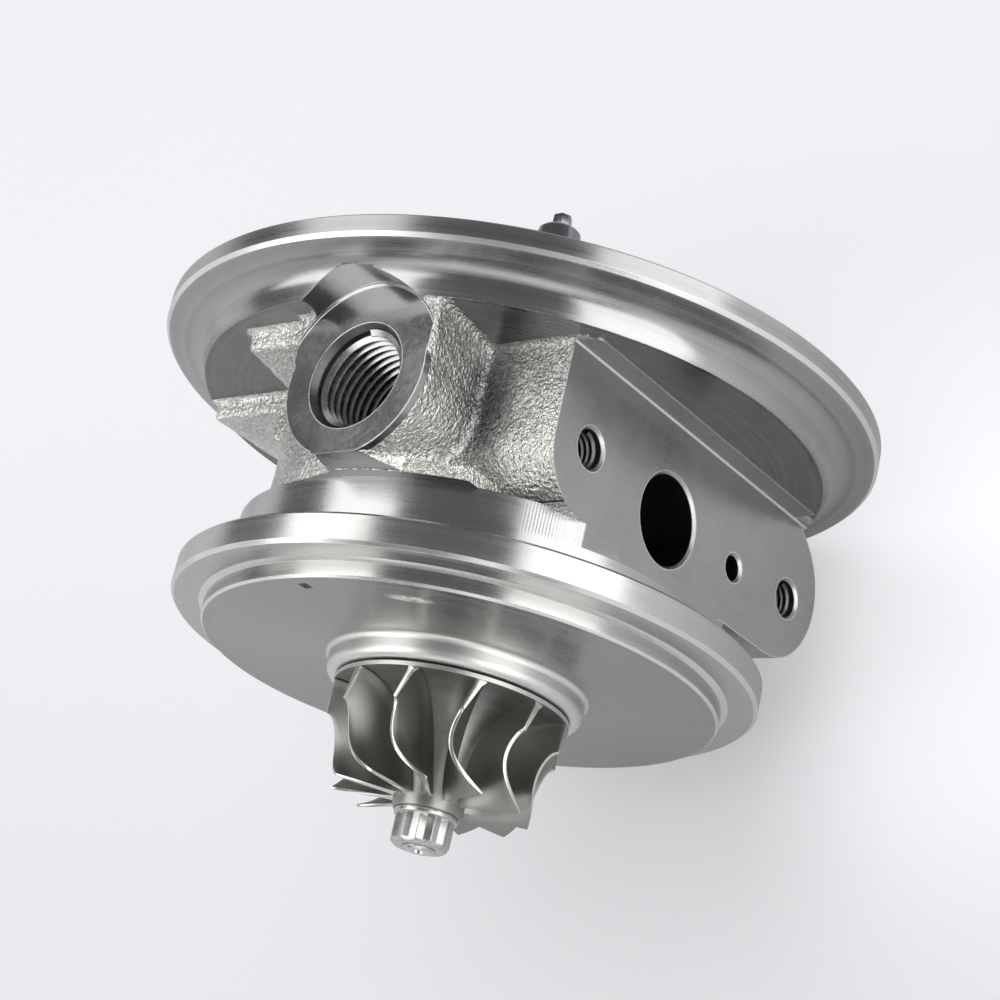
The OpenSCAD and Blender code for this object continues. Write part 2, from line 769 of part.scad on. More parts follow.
module compressor_journal_bearing() {
    journal_bearing(bear2_x);
}

// Open retaining ring that springs into a groove of the bore
module circlip(x) {
    color([0.42, 0.42, 0.44])
        difference() {
            collar(groove_r, groove_r - 2, x - circlip_t, x);
            translate([x - circlip_t - 1, -1.5, 0])
                cube([circlip_t + 2, 3, groove_r + 1]);
        }
}

module turbine_outer_circlip() {
    circlip(clip1_x);
}

module turbine_inner_circlip() {
    circlip(clip2_x);
}

module compressor_circlip() {
    circlip(clip3_x);
}

module thrust_collar() {
    color([0.7, 0.7, 0.72])
        difference() {
            union() {
                rod(thrust_collar_d / 2, collar_back_x - thrust_collar_t, collar_back_x);
                rod(neck_d / 2, slinger_x, collar_back_x);
            }
            rod(stub_r, slinger_x - 1, collar_back_x + 1);
        }
}

module thrust_bearing() {
    pad_w = 2;
    color([0.78, 0.6, 0.3])
        difference() {
            rod(thrust_d / 2, thrust_x - thrust_t, thrust_x);
            rod(neck_d / 2 + 0.3, thrust_x - thrust_t - 1, thrust_x + 1);
            thrust_screw_places()
                rod(thrust_screw_d / 2 + 0.1, thrust_x - thrust_t - 1, thrust_x + 1);
            // Flat towards the drain
            translate([thrust_x - thrust_t - 1, -over - thrust_d / 2 + 7, -over])
                cube([thrust_t + 2, over, over * 2]);
            // Radial oil grooves between the thrust pads
            for (a = [0 : 60 : 300])
                rotate([a + 30, 0, 0])
                    translate([thrust_x - thrust_t - eps, neck_d / 2 - 1, -pad_w / 4])
                        cube([0.4, 5, pad_w / 2]);
        }
}

module thrust_bearing_screws() {
    seat_x = thrust_x - thrust_t;
    color([0.3, 0.3, 0.32])
        thrust_screw_places()
            difference() {
                union() {
                    rod(thrust_screw_d / 2, seat_x - eps, seat_x + thrust_screw_len - 0.5);
                    rod(thrust_head_d / 2, seat_x - thrust_head_h, seat_x);
                }
                translate([seat_x - thrust_head_h - eps, 0, 0])
                    rotate([0, 90, 0])
                        cylinder(d = 2.6, h = 0.9, $fn = 6);
            }
}

module oil_deflector() {
    color([0.6, 0.6, 0.6])
        collar(spigot_r, sleeve_d / 2 + 1, deflector_x - deflector_t, deflector_x);
}

module seal_sleeve() {
    color([0.68, 0.68, 0.7])
        difference() {
            union() {
                rod(slinger_d / 2, slinger_x - 1.2, slinger_x);
                rod(sleeve_d / 2, hub_back_x, slinger_x);
            }
            rod(stub_r, hub_back_x - 1, slinger_x + 1);
            collar(sleeve_d, sleeve_d / 2 + seal_gap - ring_t - 0.4,
                ring2_x - ring_side, ring2_x + ring_w + ring_side);
        }
}

bearing_housing();
compressor_back_plate();
back_plate_o_ring();
back_plate_pin();
heat_shield();
rotor_shaft();
turbine_wheel();
turbine_piston_ring();
turbine_journal_bearing();
compressor_journal_bearing();
turbine_outer_circlip();
turbine_inner_circlip();
compressor_circlip();
thrust_collar();
thrust_bearing();
thrust_bearing_screws();
oil_deflector();
seal_sleeve();
compressor_piston_ring();
compressor_wheel();
compressor_nut();
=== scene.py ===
import bpy
import math
from mathutils import Matrix, Vector


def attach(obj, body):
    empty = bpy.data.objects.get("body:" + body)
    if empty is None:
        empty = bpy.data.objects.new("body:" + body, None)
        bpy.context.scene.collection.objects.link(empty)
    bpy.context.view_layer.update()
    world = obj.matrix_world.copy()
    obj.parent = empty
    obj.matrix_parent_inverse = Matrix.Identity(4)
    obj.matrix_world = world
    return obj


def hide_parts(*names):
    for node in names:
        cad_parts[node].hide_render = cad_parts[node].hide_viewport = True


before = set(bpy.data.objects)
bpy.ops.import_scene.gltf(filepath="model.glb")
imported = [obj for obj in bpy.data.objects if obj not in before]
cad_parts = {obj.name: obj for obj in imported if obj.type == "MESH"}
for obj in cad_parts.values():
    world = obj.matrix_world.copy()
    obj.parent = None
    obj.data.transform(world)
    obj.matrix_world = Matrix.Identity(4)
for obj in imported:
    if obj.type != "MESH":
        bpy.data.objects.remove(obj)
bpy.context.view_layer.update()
mm = 0.001
scene = bpy.context.scene
scene.view_settings.view_transform = "Standard"
print("frame loaded")


# picking and finishing, used by every piece

def dropAll():
    if bpy.context.object and bpy.context.object.mode != "OBJECT":
        bpy.ops.object.mode_set(mode="OBJECT")
    bpy.ops.object.select_all(action="DESELECT")


def grip(piece):
    dropAll()
    piece.select_set(True)
    bpy.context.view_layer.objects.active = piece
    return piece


def settle(piece):
    grip(piece)
    bpy.ops.object.transform_apply(location=True, rotation=True, scale=True)
    return piece


def addApply(piece, kind, **settings):
    grip(piece)
    bpy.ops.object.modifier_add(type=kind)
    step = piece.modifiers[-1]
    for name, value in settings.items():
        setattr(step, name, value)
    bpy.ops.object.modifier_apply(modifier=step.name)
    return piece


def cutBy(piece, tool, how="DIFFERENCE"):
    addApply(piece, "BOOLEAN", operation=how, object=tool, solver="MANIFOLD")
    bpy.data.objects.remove(tool)
    return piece


def joinAll(name, parts):
    dropAll()
    for part in parts:
        part.select_set(True)
    bpy.context.view_layer.objects.active = parts[0]
    bpy.ops.object.join()
    parts[0].name = name
    return parts[0]


def smoothEdges(piece, degrees):
    grip(piece)
    bpy.ops.object.shade_smooth_by_angle(angle=math.radians(degrees))
    return piece


def breakEdges(piece, width, rings, degrees):
    return addApply(piece, "BEVEL", width=width * mm, segments=rings, limit_method="ANGLE",
                    angle_limit=math.radians(degrees), use_clamp_overlap=True)


def outward(piece):
    grip(piece)
    bpy.ops.object.mode_set(mode="EDIT")
    bpy.ops.mesh.select_all(action="SELECT")
    bpy.ops.mesh.remove_doubles(threshold=0.001 * mm)
    bpy.ops.mesh.normals_make_consistent(inside=False)
    bpy.ops.object.mode_set(mode="OBJECT")
    return piece


def coat(piece, *finishes):
    piece.data.materials.clear()
    for finish in finishes:
        piece.data.materials.append(finish)
    return piece


def pickOnly(piece, kind, test):  # leaves the piece in edit mode
    grip(piece)
    bpy.ops.object.mode_set(mode="EDIT")
    bpy.ops.mesh.select_mode(type=kind)
    bpy.ops.mesh.select_all(action="DESELECT")
    bpy.ops.object.mode_set(mode="OBJECT")
    for part in piece.data.edges if kind == "EDGE" else piece.data.polygons:
        part.select = test(part)
    bpy.ops.object.mode_set(mode="EDIT")


def shift(piece, axis, value, test):  # moves the corners that pass the test
    for v in piece.data.vertices:
        if test(v.co / mm):
            v.co["XYZ".index(axis)] = value * mm
    return piece


# a turned piece: one circle, extruded and sized step by step along its axis
turnWays = {"X": (0, math.pi / 2, 0), "Z": (0, 0, 0), "-Y": (math.pi / 2, 0, 0)}


def turned(name, profile, sides, axis="X", at=(0, 0, 0), closed=False):
    dropAll()
    r, x = profile[0]
    bpy.ops.mesh.primitive_circle_add(vertices=sides, radius=r * mm, location=(0, 0, 0))
    piece = bpy.context.object
    piece.name = name
    bpy.ops.object.mode_set(mode="EDIT")
    bpy.ops.mesh.select_mode(type="VERT")
    bpy.ops.mesh.select_all(action="SELECT")
    bpy.ops.transform.translate(value=(0, 0, x * mm))
    if not closed:
        bpy.ops.mesh.edge_face_add()
    for rNext, xNext in profile[1:] + (profile[:1] if closed else []):
        bpy.ops.mesh.extrude_region_move(TRANSFORM_OT_translate={"value": (0, 0, (xNext - x) * mm)})
        bpy.ops.transform.resize(value=(rNext / r, rNext / r, 1), center_override=(0, 0, xNext * mm))
        r, x = rNext, xNext
    bpy.ops.object.mode_set(mode="OBJECT")
    return outward(moved(piece, axis, at))


def moved(piece, axis, at):
    piece.rotation_euler = turnWays[axis]
    piece.location = [c * mm for c in at]
    return settle(piece)


def tube(name, inner, outer, start, end):
    return turned(name, [(inner, start), (outer, start), (outer, end), (inner, end)], 256, closed=True)


def bow(rc, xc, radius, start, end, steps):
    turns = [math.radians(start + (end - start) * i / steps) for i in range(steps + 1)]
    return [(rc + radius * math.cos(a), xc + radius * math.sin(a)) for a in turns]


def block(name, low, high):
    dropAll()
    size = [b - a for a, b in zip(low, high)]
    middle = [(a + b) / 2 * mm for a, b in zip(low, high)]
    bpy.ops.mesh.primitive_cube_add(size=mm, location=middle, scale=size)
    piece = bpy.context.object
    piece.name = name
    return settle(piece)


def roundCorners(piece, radius, steps, axis, test):
    way = "XYZ".index(axis)

    def chosen(edge):
        a, b = [piece.data.vertices[i].co / mm for i in edge.vertices]
        return test(a) and test(b) and abs(a[way] - b[way]) > 0.5

    pickOnly(piece, "EDGE", chosen)
    bpy.ops.mesh.bevel(offset=radius * mm, segments=steps, affect="EDGES")
    bpy.ops.object.mode_set(mode="OBJECT")
    return piece


# finishes, all from nodes on Object or UV coordinates
colourA, colourB, colourOut = 6, 7, 2  # sockets of a colour mix
noiseSpan = (0.3, 0.7)  # where most noise values lie
toolMark = 0.02 * mm


def newFinish(name, metal=1.0):
    finish = bpy.data.materials.new(name)
    finish.use_nodes = True
    nodes = finish.node_tree.nodes
    nodes.clear()
    out = nodes.new("ShaderNodeOutputMaterial")
    skin = nodes.new("ShaderNodeBsdfPrincipled")
    skin.inputs["Metallic"].default_value = metal
    finish.node_tree.links.new(skin.outputs[0], out.inputs[0])
    return finish, skin


def put(finish, kind, links=None, **settings):
    step = finish.node_tree.nodes.new(kind)
    for name, value in settings.items():
        setattr(step, name, value)
    for socket, value in (links or {}).items():
        plug(finish, step.inputs[socket], value)
    return step


def plug(finish, socket, value):
    if isinstance(value, bpy.types.NodeSocket):
        finish.node_tree.links.new(value, socket)
    else:
        socket.default_value = value


def sums(finish, how, a, b=0.0):
    return put(finish, "ShaderNodeMath", {0: a, 1: b}, operation=how).outputs[0]


def weighted(finish, *pairs):
    total = None
    for value, share in pairs:
        part = sums(finish, "MULTIPLY", value, share)
        total = part if total is None else sums(finish, "ADD", total, part)
    return total


def spread(finish, value, low, high, toLow, toHigh, way="LINEAR"):
    return put(finish, "ShaderNodeMapRange", {0: value, 1: low, 2: high, 3: toLow, 4: toHigh},
               interpolation_type=way).outputs[0]


def shade(finish, value, dark, pale):
    mix = put(finish, "ShaderNodeMix", {0: value}, data_type="RGBA")
    plug(finish, mix.inputs[colourA], (*dark, 1))
    plug(finish, mix.inputs[colourB], (*pale, 1))
    return mix.outputs[colourOut]


def tinted(finish, colour, share, tint):
    mix = put(finish, "ShaderNodeMix", {0: share}, data_type="RGBA", blend_type="MULTIPLY")
    plug(finish, mix.inputs[colourA], colour)
    plug(finish, mix.inputs[colourB], (*tint, 1))
    return mix.outputs[colourOut]


def grain(finish, vector, scale, detail, rough=0.55):
    return put(finish, "ShaderNodeTexNoise",
               {"Vector": vector, "Scale": scale, "Detail": detail, "Roughness": rough}).outputs[0]


def place(finish):
    return put(finish, "ShaderNodeTexCoord").outputs["Object"]


def ringPlace(finish):
    spot = put(finish, "ShaderNodeSeparateXYZ", {0: place(finish)})
    yy = sums(finish, "MULTIPLY", spot.outputs[1], spot.outputs[1])
    zz = sums(finish, "MULTIPLY", spot.outputs[2], spot.outputs[2])
    r = sums(finish, "SQRT", sums(finish, "ADD", yy, zz))
    return put(finish, "ShaderNodeCombineXYZ", {0: spot.outputs[0], 1: r}).outputs[0], spot


def nearMark(finish, mark):
    links = {"Vector": place(finish), "Location": mark["at"], "Rotation": mark["turn"],
             "Scale": mark["reach"]}
    away = put(finish, "ShaderNodeMapping", links, vector_type="TEXTURE").outputs[0]
    far = put(finish, "ShaderNodeVectorMath", {0: away}, operation="LENGTH").outputs["Value"]
    return spread(finish, far, mark["full"], 1.0, 1, 0)


def lift(finish, height, strength, distance, normal=None):
    links = {"Height": height, "Strength": strength, "Distance": distance}
    if normal:
        links["Normal"] = normal
    return put(finish, "ShaderNodeBump", links).outputs[0]


def softEdge(finish, radius):
    return put(finish, "ShaderNodeBevel", {"Radius": radius * mm}, samples=4).outputs[0]


def chatterHeight(finish, spot, ticks):
    turn = sums(finish, "ARCTAN2", spot.outputs[1], sums(finish, "MULTIPLY", spot.outputs[2], -1.0))
    wave = sums(finish, "SINE", sums(finish, "MULTIPLY", turn, ticks["count"]))
    starts = spread(finish, turn, ticks["from"] - 0.06, ticks["from"] + 0.06, 0, 1)
    stops = spread(finish, turn, ticks["to"] - 0.05, ticks["to"] + 0.05, 1, 0)
    above = spread(finish, spot.outputs[0], ticks["end"] * mm, (ticks["end"] + 1) * mm, 0, 1)
    near = sums(finish, "MULTIPLY", sums(finish, "MULTIPLY", starts, stops), above)
    return sums(finish, "MULTIPLY", sums(finish, "MULTIPLY", wave, near), ticks["height"])


def turnedMetal(name, dark, pale, rough, swirl, lines=1.0, ticks=None, farShading=None, rub=None):
    finish, skin = newFinish(name)
    rings, spot = ringPlace(finish)
    fine = grain(finish, rings, 5200, 2.0, 0.6)
    broad = grain(finish, rings, 900, 3.0, 0.6)
    cloud = grain(finish, place(finish), 60, 5.0, 0.65)
    skin.inputs["Anisotropic"].default_value = swirl
    skin.inputs["Anisotropic Rotation"].default_value = 0.25
    tone = weighted(finish, (broad, 0.6), (cloud, 0.4))
    colour = shade(finish, spread(finish, tone, 0.35, 0.65, 0, 1), dark, pale)
    if farShading:  # painted shade, darker towards the far side
        share = spread(finish, spot.outputs[1], farShading["from"] * mm, farShading["to"] * mm, 0, 1)
        colour = tinted(finish, colour, share, farShading["tint"])
    level = sums(finish, "ADD", spread(finish, broad, *noiseSpan, rough - 0.05, rough + 0.06),
                 spread(finish, cloud, *noiseSpan, -0.04, 0.05))
    if rub:  # a rubbed spot, paler and duller
        patches = spread(finish, grain(finish, place(finish), 700, 3.0), 0.4, 0.6, 0.4, 1)
        worn = sums(finish, "MULTIPLY", nearMark(finish, rub), patches)
        colour = tinted(finish, colour, worn, rub["tint"])
        level = sums(finish, "ADD", level, sums(finish, "MULTIPLY", worn, rub["duller"]))
    plug(finish, skin.inputs["Base Color"], colour)
    plug(finish, skin.inputs["Roughness"], level)
    height = weighted(finish, (fine, 0.5), (broad, 0.5))
    if ticks:  # chatter marks of the turning tool
        height = sums(finish, "ADD", height, chatterHeight(finish, spot, ticks))
    plug(finish, skin.inputs["Normal"], lift(finish, height, 0.25 * lines, toolMark, softEdge(finish, 0.12)))
    tangent = put(finish, "ShaderNodeTangent", direction_type="RADIAL", axis="X")
    plug(finish, skin.inputs["Tangent"], tangent.outputs[0])
    return finish


def castSkin(name, dark, pale, rough, depth, size, shadeInHollow=None):
    finish, skin = newFinish(name)
    spot = place(finish)
    sand = grain(finish, spot, 1150 * size, 3.0, 0.62)
    crumbs = put(finish, "ShaderNodeTexVoronoi", {"Vector": spot, "Scale": 1700.0 * size, "Randomness": 1.0},
                 feature="SMOOTH_F1").outputs[0]
    lumps = grain(finish, spot, 260 * size, 3.0, 0.6)
    cloud = grain(finish, spot, 60, 3.0, 0.5)
    tone = weighted(finish, (sand, 0.55), (cloud, 0.45))
    colour = shade(finish, spread(finish, tone, 0.36, 0.64, 0, 1), dark, pale)
    if shadeInHollow:  # painted shade, darker in the recess beside the pad
        colour = tinted(finish, colour, nearMark(finish, shadeInHollow), shadeInHollow["tint"])
    plug(finish, skin.inputs["Base Color"], colour)
    plug(finish, skin.inputs["Roughness"], spread(finish, sand, *noiseSpan, rough - 0.06, rough + 0.1))
    height = weighted(finish, (sand, 1.0), (crumbs, -0.35), (lumps, 0.8))
    plug(finish, skin.inputs["Normal"], lift(finish, height, 1.0, depth * mm))
    return finish


def milledMetal(name, dark, pale, rough):
    finish, skin = newFinish(name)
    drawn = put(finish, "ShaderNodeMapping", {"Vector": place(finish), "Scale": (1.0, 1.0, 0.04)}).outputs[0]
    strokes = grain(finish, drawn, 2600, 3.0, 0.65)
    cloud = grain(finish, place(finish), 70, 4.0, 0.6)
    specks = grain(finish, place(finish), 1500, 2.0, 0.5)
    tone = weighted(finish, (strokes, 0.4), (cloud, 0.6))
    plug(finish, skin.inputs["Base Color"], shade(finish, spread(finish, tone, *noiseSpan, 0, 1), dark, pale))
    level = sums(finish, "ADD", spread(finish, cloud, *noiseSpan, rough - 0.04, rough + 0.06),
                 spread(finish, specks, *noiseSpan, -0.03, 0.03))
    plug(finish, skin.inputs["Roughness"], level)
    plug(finish, skin.inputs["Normal"], lift(finish, strokes, 0.15, toolMark, softEdge(finish, 0.3)))
    return finish


def bladeMetal(name, dark, pale, rough):
    finish, skin = newFinish(name)
    uv = put(finish, "ShaderNodeTexCoord").outputs["UV"]
    drawn = put(finish, "ShaderNodeMapping", {"Vector": uv, "Scale": (2.0, 60.0, 1.0)}).outputs[0]
    passes = grain(finish, drawn, 1.0, 3.0, 0.6)
    cloud = grain(finish, place(finish), 160, 4.0, 0.6)
    tone = weighted(finish, (passes, 0.5), (cloud, 0.5))
    plug(finish, skin.inputs["Base Color"], shade(finish, spread(finish, tone, *noiseSpan, 0, 1), dark, pale))
    plug(finish, skin.inputs["Roughness"], spread(finish, tone, *noiseSpan, rough - 0.05, rough + 0.08))
    plug(finish, skin.inputs["Normal"], lift(finish, passes, 0.12, toolMark, softEdge(finish, 0.08)))
    return finish


def rubberBlack(name):
    finish, skin = newFinish(name, 0.0)
    cloud = grain(finish, place(finish), 400, 3.0)
    plug(finish, skin.inputs["Base Color"], shade(finish, cloud, (0.012, 0.012, 0.012), (0.03, 0.03, 0.03)))
    plug(finish, skin.inputs["Roughness"], spread(finish, cloud, *noiseSpan, 0.5, 0.65))
    plug(finish, skin.inputs["Normal"], lift(finish, cloud, 0.2, toolMark))
    return finish


chatter = {"from": -2.27, "to": -2.02, "count": 500.0, "end": -38.6, "height": 2.5}
rubbed = {"at": (-0.0504, -0.0156, 0.0321), "turn": (0.47, 0, 0), "reach": (0.004, 0.0042, 0.0014),
          "full": 0.55, "tint": (3.0, 3.0, 2.9), "duller": 0.1}
# painted shade: a darker tint on the cast in the recess beside the pad
valley = {"at": (-0.018, -0.0215, 0.0315), "turn": (0, 0, 0), "reach": (0.016, 0.0055, 0.0045),
          "full": 0.3, "tint": (0.42, 0.42, 0.45)}
# painted shade: the plateau face darker towards its far side
farShadeTint = {"from": -15, "to": 25, "tint": (0.62, 0.62, 0.62)}
flangeSteel = turnedMetal("flangeSteel", (0.34, 0.34, 0.34), (0.46, 0.46, 0.45), 0.27, 0.7)
collarSteel = turnedMetal("collarSteel", (0.38, 0.38, 0.39), (0.50, 0.50, 0.50), 0.25, 0.7, ticks=chatter)
plateSatin = turnedMetal("plateSatin", (0.46, 0.46, 0.45), (0.54, 0.54, 0.52), 0.28, 0.7, 0.4)
plateFace = turnedMetal("plateFace", (0.33, 0.33, 0.32), (0.39, 0.39, 0.38), 0.30, 0.7, 0.4, rub=rubbed)
ringBright = turnedMetal("ringBright", (0.66, 0.66, 0.64), (0.78, 0.78, 0.75), 0.42, 0.3, 0.4)
# cast skin with painted shade in the recess beside the pad
castGrey = castSkin("castGrey", (0.40, 0.40, 0.385), (0.88, 0.88, 0.83), 0.19, 0.46, 1.25, valley)
# darker plateau face, partly its as-cast finish and partly painted shade, with more painted shade towards the
# far side
plateauDark = turnedMetal("plateauDark", (0.24, 0.24, 0.25), (0.36, 0.36, 0.36), 0.30, 0.3, farShading=farShadeTint)
padMilled = milledMetal("padMilled", (0.37, 0.37, 0.37), (0.49, 0.49, 0.475), 0.30)
inletMilled = milledMetal("inletMilled", (0.34, 0.34, 0.34), (0.44, 0.44, 0.43), 0.16)
threadSteel = turnedMetal("threadSteel", (0.36, 0.36, 0.36), (0.50, 0.50, 0.48), 0.24, 0.0, 0.2)
# painted shade: near-black steel inside the bores and holes stands in for their shadow
boreShade = milledMetal("boreShade", (0.09, 0.09, 0.09), (0.16, 0.16, 0.16), 0.34)
# painted highlight: much paler steel on edges, chamfers and the pad fillet
edgeHighlight = turnedMetal("edgeHighlight", (0.70, 0.70, 0.69), (0.78, 0.78, 0.76), 0.26, 0.0, 0.2)
wheelAlloy = bladeMetal("wheelAlloy", (0.27, 0.265, 0.25), (0.36, 0.35, 0.33), 0.44)
# painted highlight: much paler alloy on the blade rims
wheelEdgeHighlight = bladeMetal("wheelEdgeHighlight", (0.62, 0.61, 0.58), (0.78, 0.77, 0.73), 0.24)
wheelHub = turnedMetal("wheelHub", (0.28, 0.275, 0.26), (0.36, 0.35, 0.33), 0.40, 0.5, 0.4)
nutBright = turnedMetal("nutBright", (0.46, 0.46, 0.45), (0.58, 0.58, 0.56), 0.28, 0.2)
shaftSteel = turnedMetal("shaftSteel", (0.50, 0.50, 0.51), (0.66, 0.66, 0.66), 0.2, 0.4)
hotAlloy = castSkin("hotAlloy", (0.15, 0.15, 0.155), (0.26, 0.26, 0.265), 0.36, 0.05, 2.0)
noseSteel = turnedMetal("noseSteel", (0.20, 0.20, 0.21), (0.30, 0.30, 0.31), 0.18, 0.2)
shieldSheet = turnedMetal("shieldSheet", (0.34, 0.33, 0.32), (0.48, 0.47, 0.46), 0.34, 0.3)
bearingBronze = turnedMetal("bearingBronze", (0.55, 0.38, 0.15), (0.72, 0.55, 0.26), 0.26, 0.4)
sealRubber = rubberBlack("sealRubber")
print("finishes made")


# bearing housing: turned flange, cast body, turned collar
housingFinish = (castGrey, padMilled, inletMilled, plateauDark, boreShade, flangeSteel, collarSteel,
                 edgeHighlight)
past = 90.0  # cutting blocks reach past every side


def markAll(piece, finish):
    coat(piece, *housingFinish)
    for face in piece.data.polygons:
        face.material_index = housingFinish.index(finish)
    return piece


flange = {"r": 60.0, "rim": 2.9, "chamfer": 0.6, "edge": 0.25, "coveR": 4.5, "coveX": -4.4,
          "plateauR": 52.0, "seatR": 46.2, "seatX": -1.0, "seatEdge": 0.15, "ledgeR": 41.2, "ledgeX": -2.4,
          "hubR": 13.1, "hubX": 3.0, "hubEdge": 0.4, "boreR": 8.1, "boreX": -4.5, "lap": 2.0, "backX": 1.2}


def makeFlange():
    f = flange
    hubEdge, seatEdge, edge = f["hubEdge"], f["seatEdge"], f["edge"]
    plateauX = f["coveX"] - f["coveR"]
    return markAll(turned("flange", [
        (f["boreR"], f["boreX"]), (f["boreR"], f["hubX"] - hubEdge), (f["boreR"] + hubEdge, f["hubX"]),
        (f["hubR"] - hubEdge, f["hubX"]), (f["hubR"], f["hubX"] - hubEdge), (f["hubR"], f["ledgeX"]),
        (f["ledgeR"], f["ledgeX"]), (f["ledgeR"], f["seatX"]), (f["seatR"], f["seatX"]),
        (f["seatR"], -seatEdge), (f["seatR"] + seatEdge, 0), (f["r"] - edge, 0), (f["r"], -edge),
        (f["r"], -f["rim"]), (f["r"] - f["chamfer"], -f["rim"] - f["chamfer"]),
        *bow(f["plateauR"] + f["coveR"], plateauX, f["coveR"], 90, 180, 16),
        (f["plateauR"] - f["lap"], plateauX + f["backX"]), (f["boreR"] + f["lap"], plateauX + f["backX"]),
        (f["boreR"] + f["lap"], f["boreX"]),
    ], 256, closed=True), flangeSteel)


collar = {"r": 40.0, "x0": -33.1, "x1": -42.4, "edge": 0.12, "roomR": 26.9, "spigotR": 28.55,
          "spigotX": -38.8}


def makeCollar():
    c = collar
    return markAll(turned("collar", [
        (c["roomR"], c["x0"]), (c["r"], c["x0"]), (c["r"], c["x1"] + c["edge"]),
        (c["r"] - c["edge"], c["x1"]), (c["spigotR"], c["x1"]), (c["spigotR"], c["spigotX"]),
        (c["roomR"], c["spigotX"]),
    ], 256, closed=True), collarSteel)


core = {"r": 36.5, "end": -36.5, "plateauX": -8.92, "discR": 54.0, "discX": -7.02, "eyeR": 3.0,
        "trimX": (8, -9.3), "trim": 0.02, "voxel": 0.55, "soften": 14, "lump": 0.16, "lumpSize": 4.5}
inlet = {"x": -20.3, "y": -8.2, "face": 47.0, "bossR": 13.2,
         "narrower": ((3.4, 12), (2.2, 30), (0.8, 41), (0, 45)), "spare": 1.5, "spotR": 15.3,
         "spotEdge": 0.3, "spotDeep": 40, "flatX": -33.0, "flatZ": 37.5, "skirt": 1.3, "headR": 13.3,
         "headDeep": 6, "rootR": 8.0, "ridgeR": 7.15, "leadR": 8.75, "lead": 1.1, "depth": 17.0,
         "drillR": 7.0, "tipR": 0.5, "tip": 2.5, "pitch": 1.5}
pad = {"y": -35.0, "x0": -9.5, "x1": -33.0, "slabX": (-33.95, -9.1), "backY": -16, "top": 31.0,
       "bottom": -44.5, "corner": 12.3, "topCorner": 9.5, "spare": 1.5, "ledgeX": -37.7, "lead": 0.45,
       "drainX": -24.7, "drainR": 7.2, "drainDeep": 24.0, "screwX": -22.9, "screwZ": (22.0, -36.0),
       "screwR": 3.0, "screwDeep": 11.0, "ridgeR": 2.5, "pitch": 1.0, "dowelX": -24.4, "dowelZ": -19.5,
       "dowelR": 2.0, "dowelDeep": 8.0}
inFlange = core["plateauX"] + 1
ribs = {
    "bossRoot": ((-17, -21.9, 12), (inFlange, 5.5, 47.3)),
    "web": ((-18, 3, 26), (inFlange, 18.6, 45.3)),
    "farShelf": ((-12.2, 18, -26), (inFlange, 44.5, 25.6)),
    "farStep": ((-17.5, 12, -26), (inFlange, 29.5, 25.6)),
    "bossFoot": ((-35, -17, 34), (-26, 0.5, 46)),
}
lean = {"rootY": -16, "webTopX": -12.2, "webX": -15.5, "footY": (-12.5, -4)}


def makeBoss():
    n = inlet
    top = n["face"] + n["spare"]
    neck = [(n["bossR"] - less, z) for less, z in n["narrower"]]
    profile = [(core["eyeR"], neck[0][1]), *neck, (n["bossR"], top), (core["eyeR"], top)]
    return turned("boss", profile, 96, "Z", (n["x"], n["y"], 0))


def makeSlab():
    p = pad
    low, high = p["slabX"]
    slab = block("slab", (low, p["y"] - p["spare"], p["bottom"]), (high, p["backY"], p["top"]))
    roundCorners(slab, p["corner"], 8, "Y", lambda q: q.z < p["bottom"] + 0.5)
    return roundCorners(slab, p["topCorner"], 8, "Y", lambda q: q.z > p["top"] - 1 and q.x < p["x1"] + 1)


def makeCast():
    c = core
    disc = turned("castBody", [(c["eyeR"], c["discX"]), (c["discR"], c["discX"]), (c["discR"], c["plateauX"]),
                               (c["r"], c["plateauX"]), (c["r"], c["end"]), (c["eyeR"], c["end"])], 160)
    boss = makeBoss()
    root, web, shelf, step, foot = [block(name, *ends) for name, ends in ribs.items()]
    shift(root, "Y", lean["rootY"], lambda q: q.y < 0 and q.z < 20)
    shift(web, "X", lean["webTopX"], lambda q: q.x < -17 and q.z > 40)
    shift(web, "X", lean["webX"], lambda q: q.x < -17)
    shift(foot, "Y", lean["footY"][0], lambda q: q.z > 40 and q.y < -8)
    shift(foot, "Y", lean["footY"][1], lambda q: q.z > 40 and q.y > -8)
    piece = joinAll("castBody", [disc, boss, root, web, shelf, step, makeSlab(), foot])
    addApply(piece, "REMESH", mode="VOXEL", voxel_size=c["voxel"] * mm, adaptivity=0.0)
    addApply(piece, "SMOOTH", factor=0.5, iterations=c["soften"])
    swell = bpy.data.textures.new("castLumps", "CLOUDS")
    swell.noise_scale = c["lumpSize"] * mm
    swell.noise_depth = 2
    addApply(piece, "DISPLACE", texture=swell, texture_coords="LOCAL", strength=c["lump"] * mm, mid_level=0.5)
    cutBy(piece, tube("rim", flange["plateauR"] - c["trim"], past, *c["trimX"]))
    return markAll(piece, castGrey)


shoulder = {"r": 42.2, "innerR": 30.0, "x": (-31.0, -34.0), "low": (-40, -24, 28), "high": (-28, 5.5, 46.5),
            "farZ": 39.7, "cutX": -33.2, "cutR": (39.9, 70), "cutLow": (-70, -33, 24),
            "cutHigh": (-20, 60, 80)}


def makeShoulder():
    s = shoulder
    zone = shift(block("zone", s["low"], s["high"]), "Z", s["farZ"], lambda q: q.y > 0 and q.z > 40)
    return markAll(cutBy(tube("shoulder", s["innerR"], s["r"], *s["x"]), zone, "INTERSECT"), castGrey)


def shoulderTool():
    s = shoulder
    piece = tube("shoulderTool", *s["cutR"], -60, s["cutX"])
    return cutBy(piece, block("zone", s["cutLow"], s["cutHigh"]), "INTERSECT")


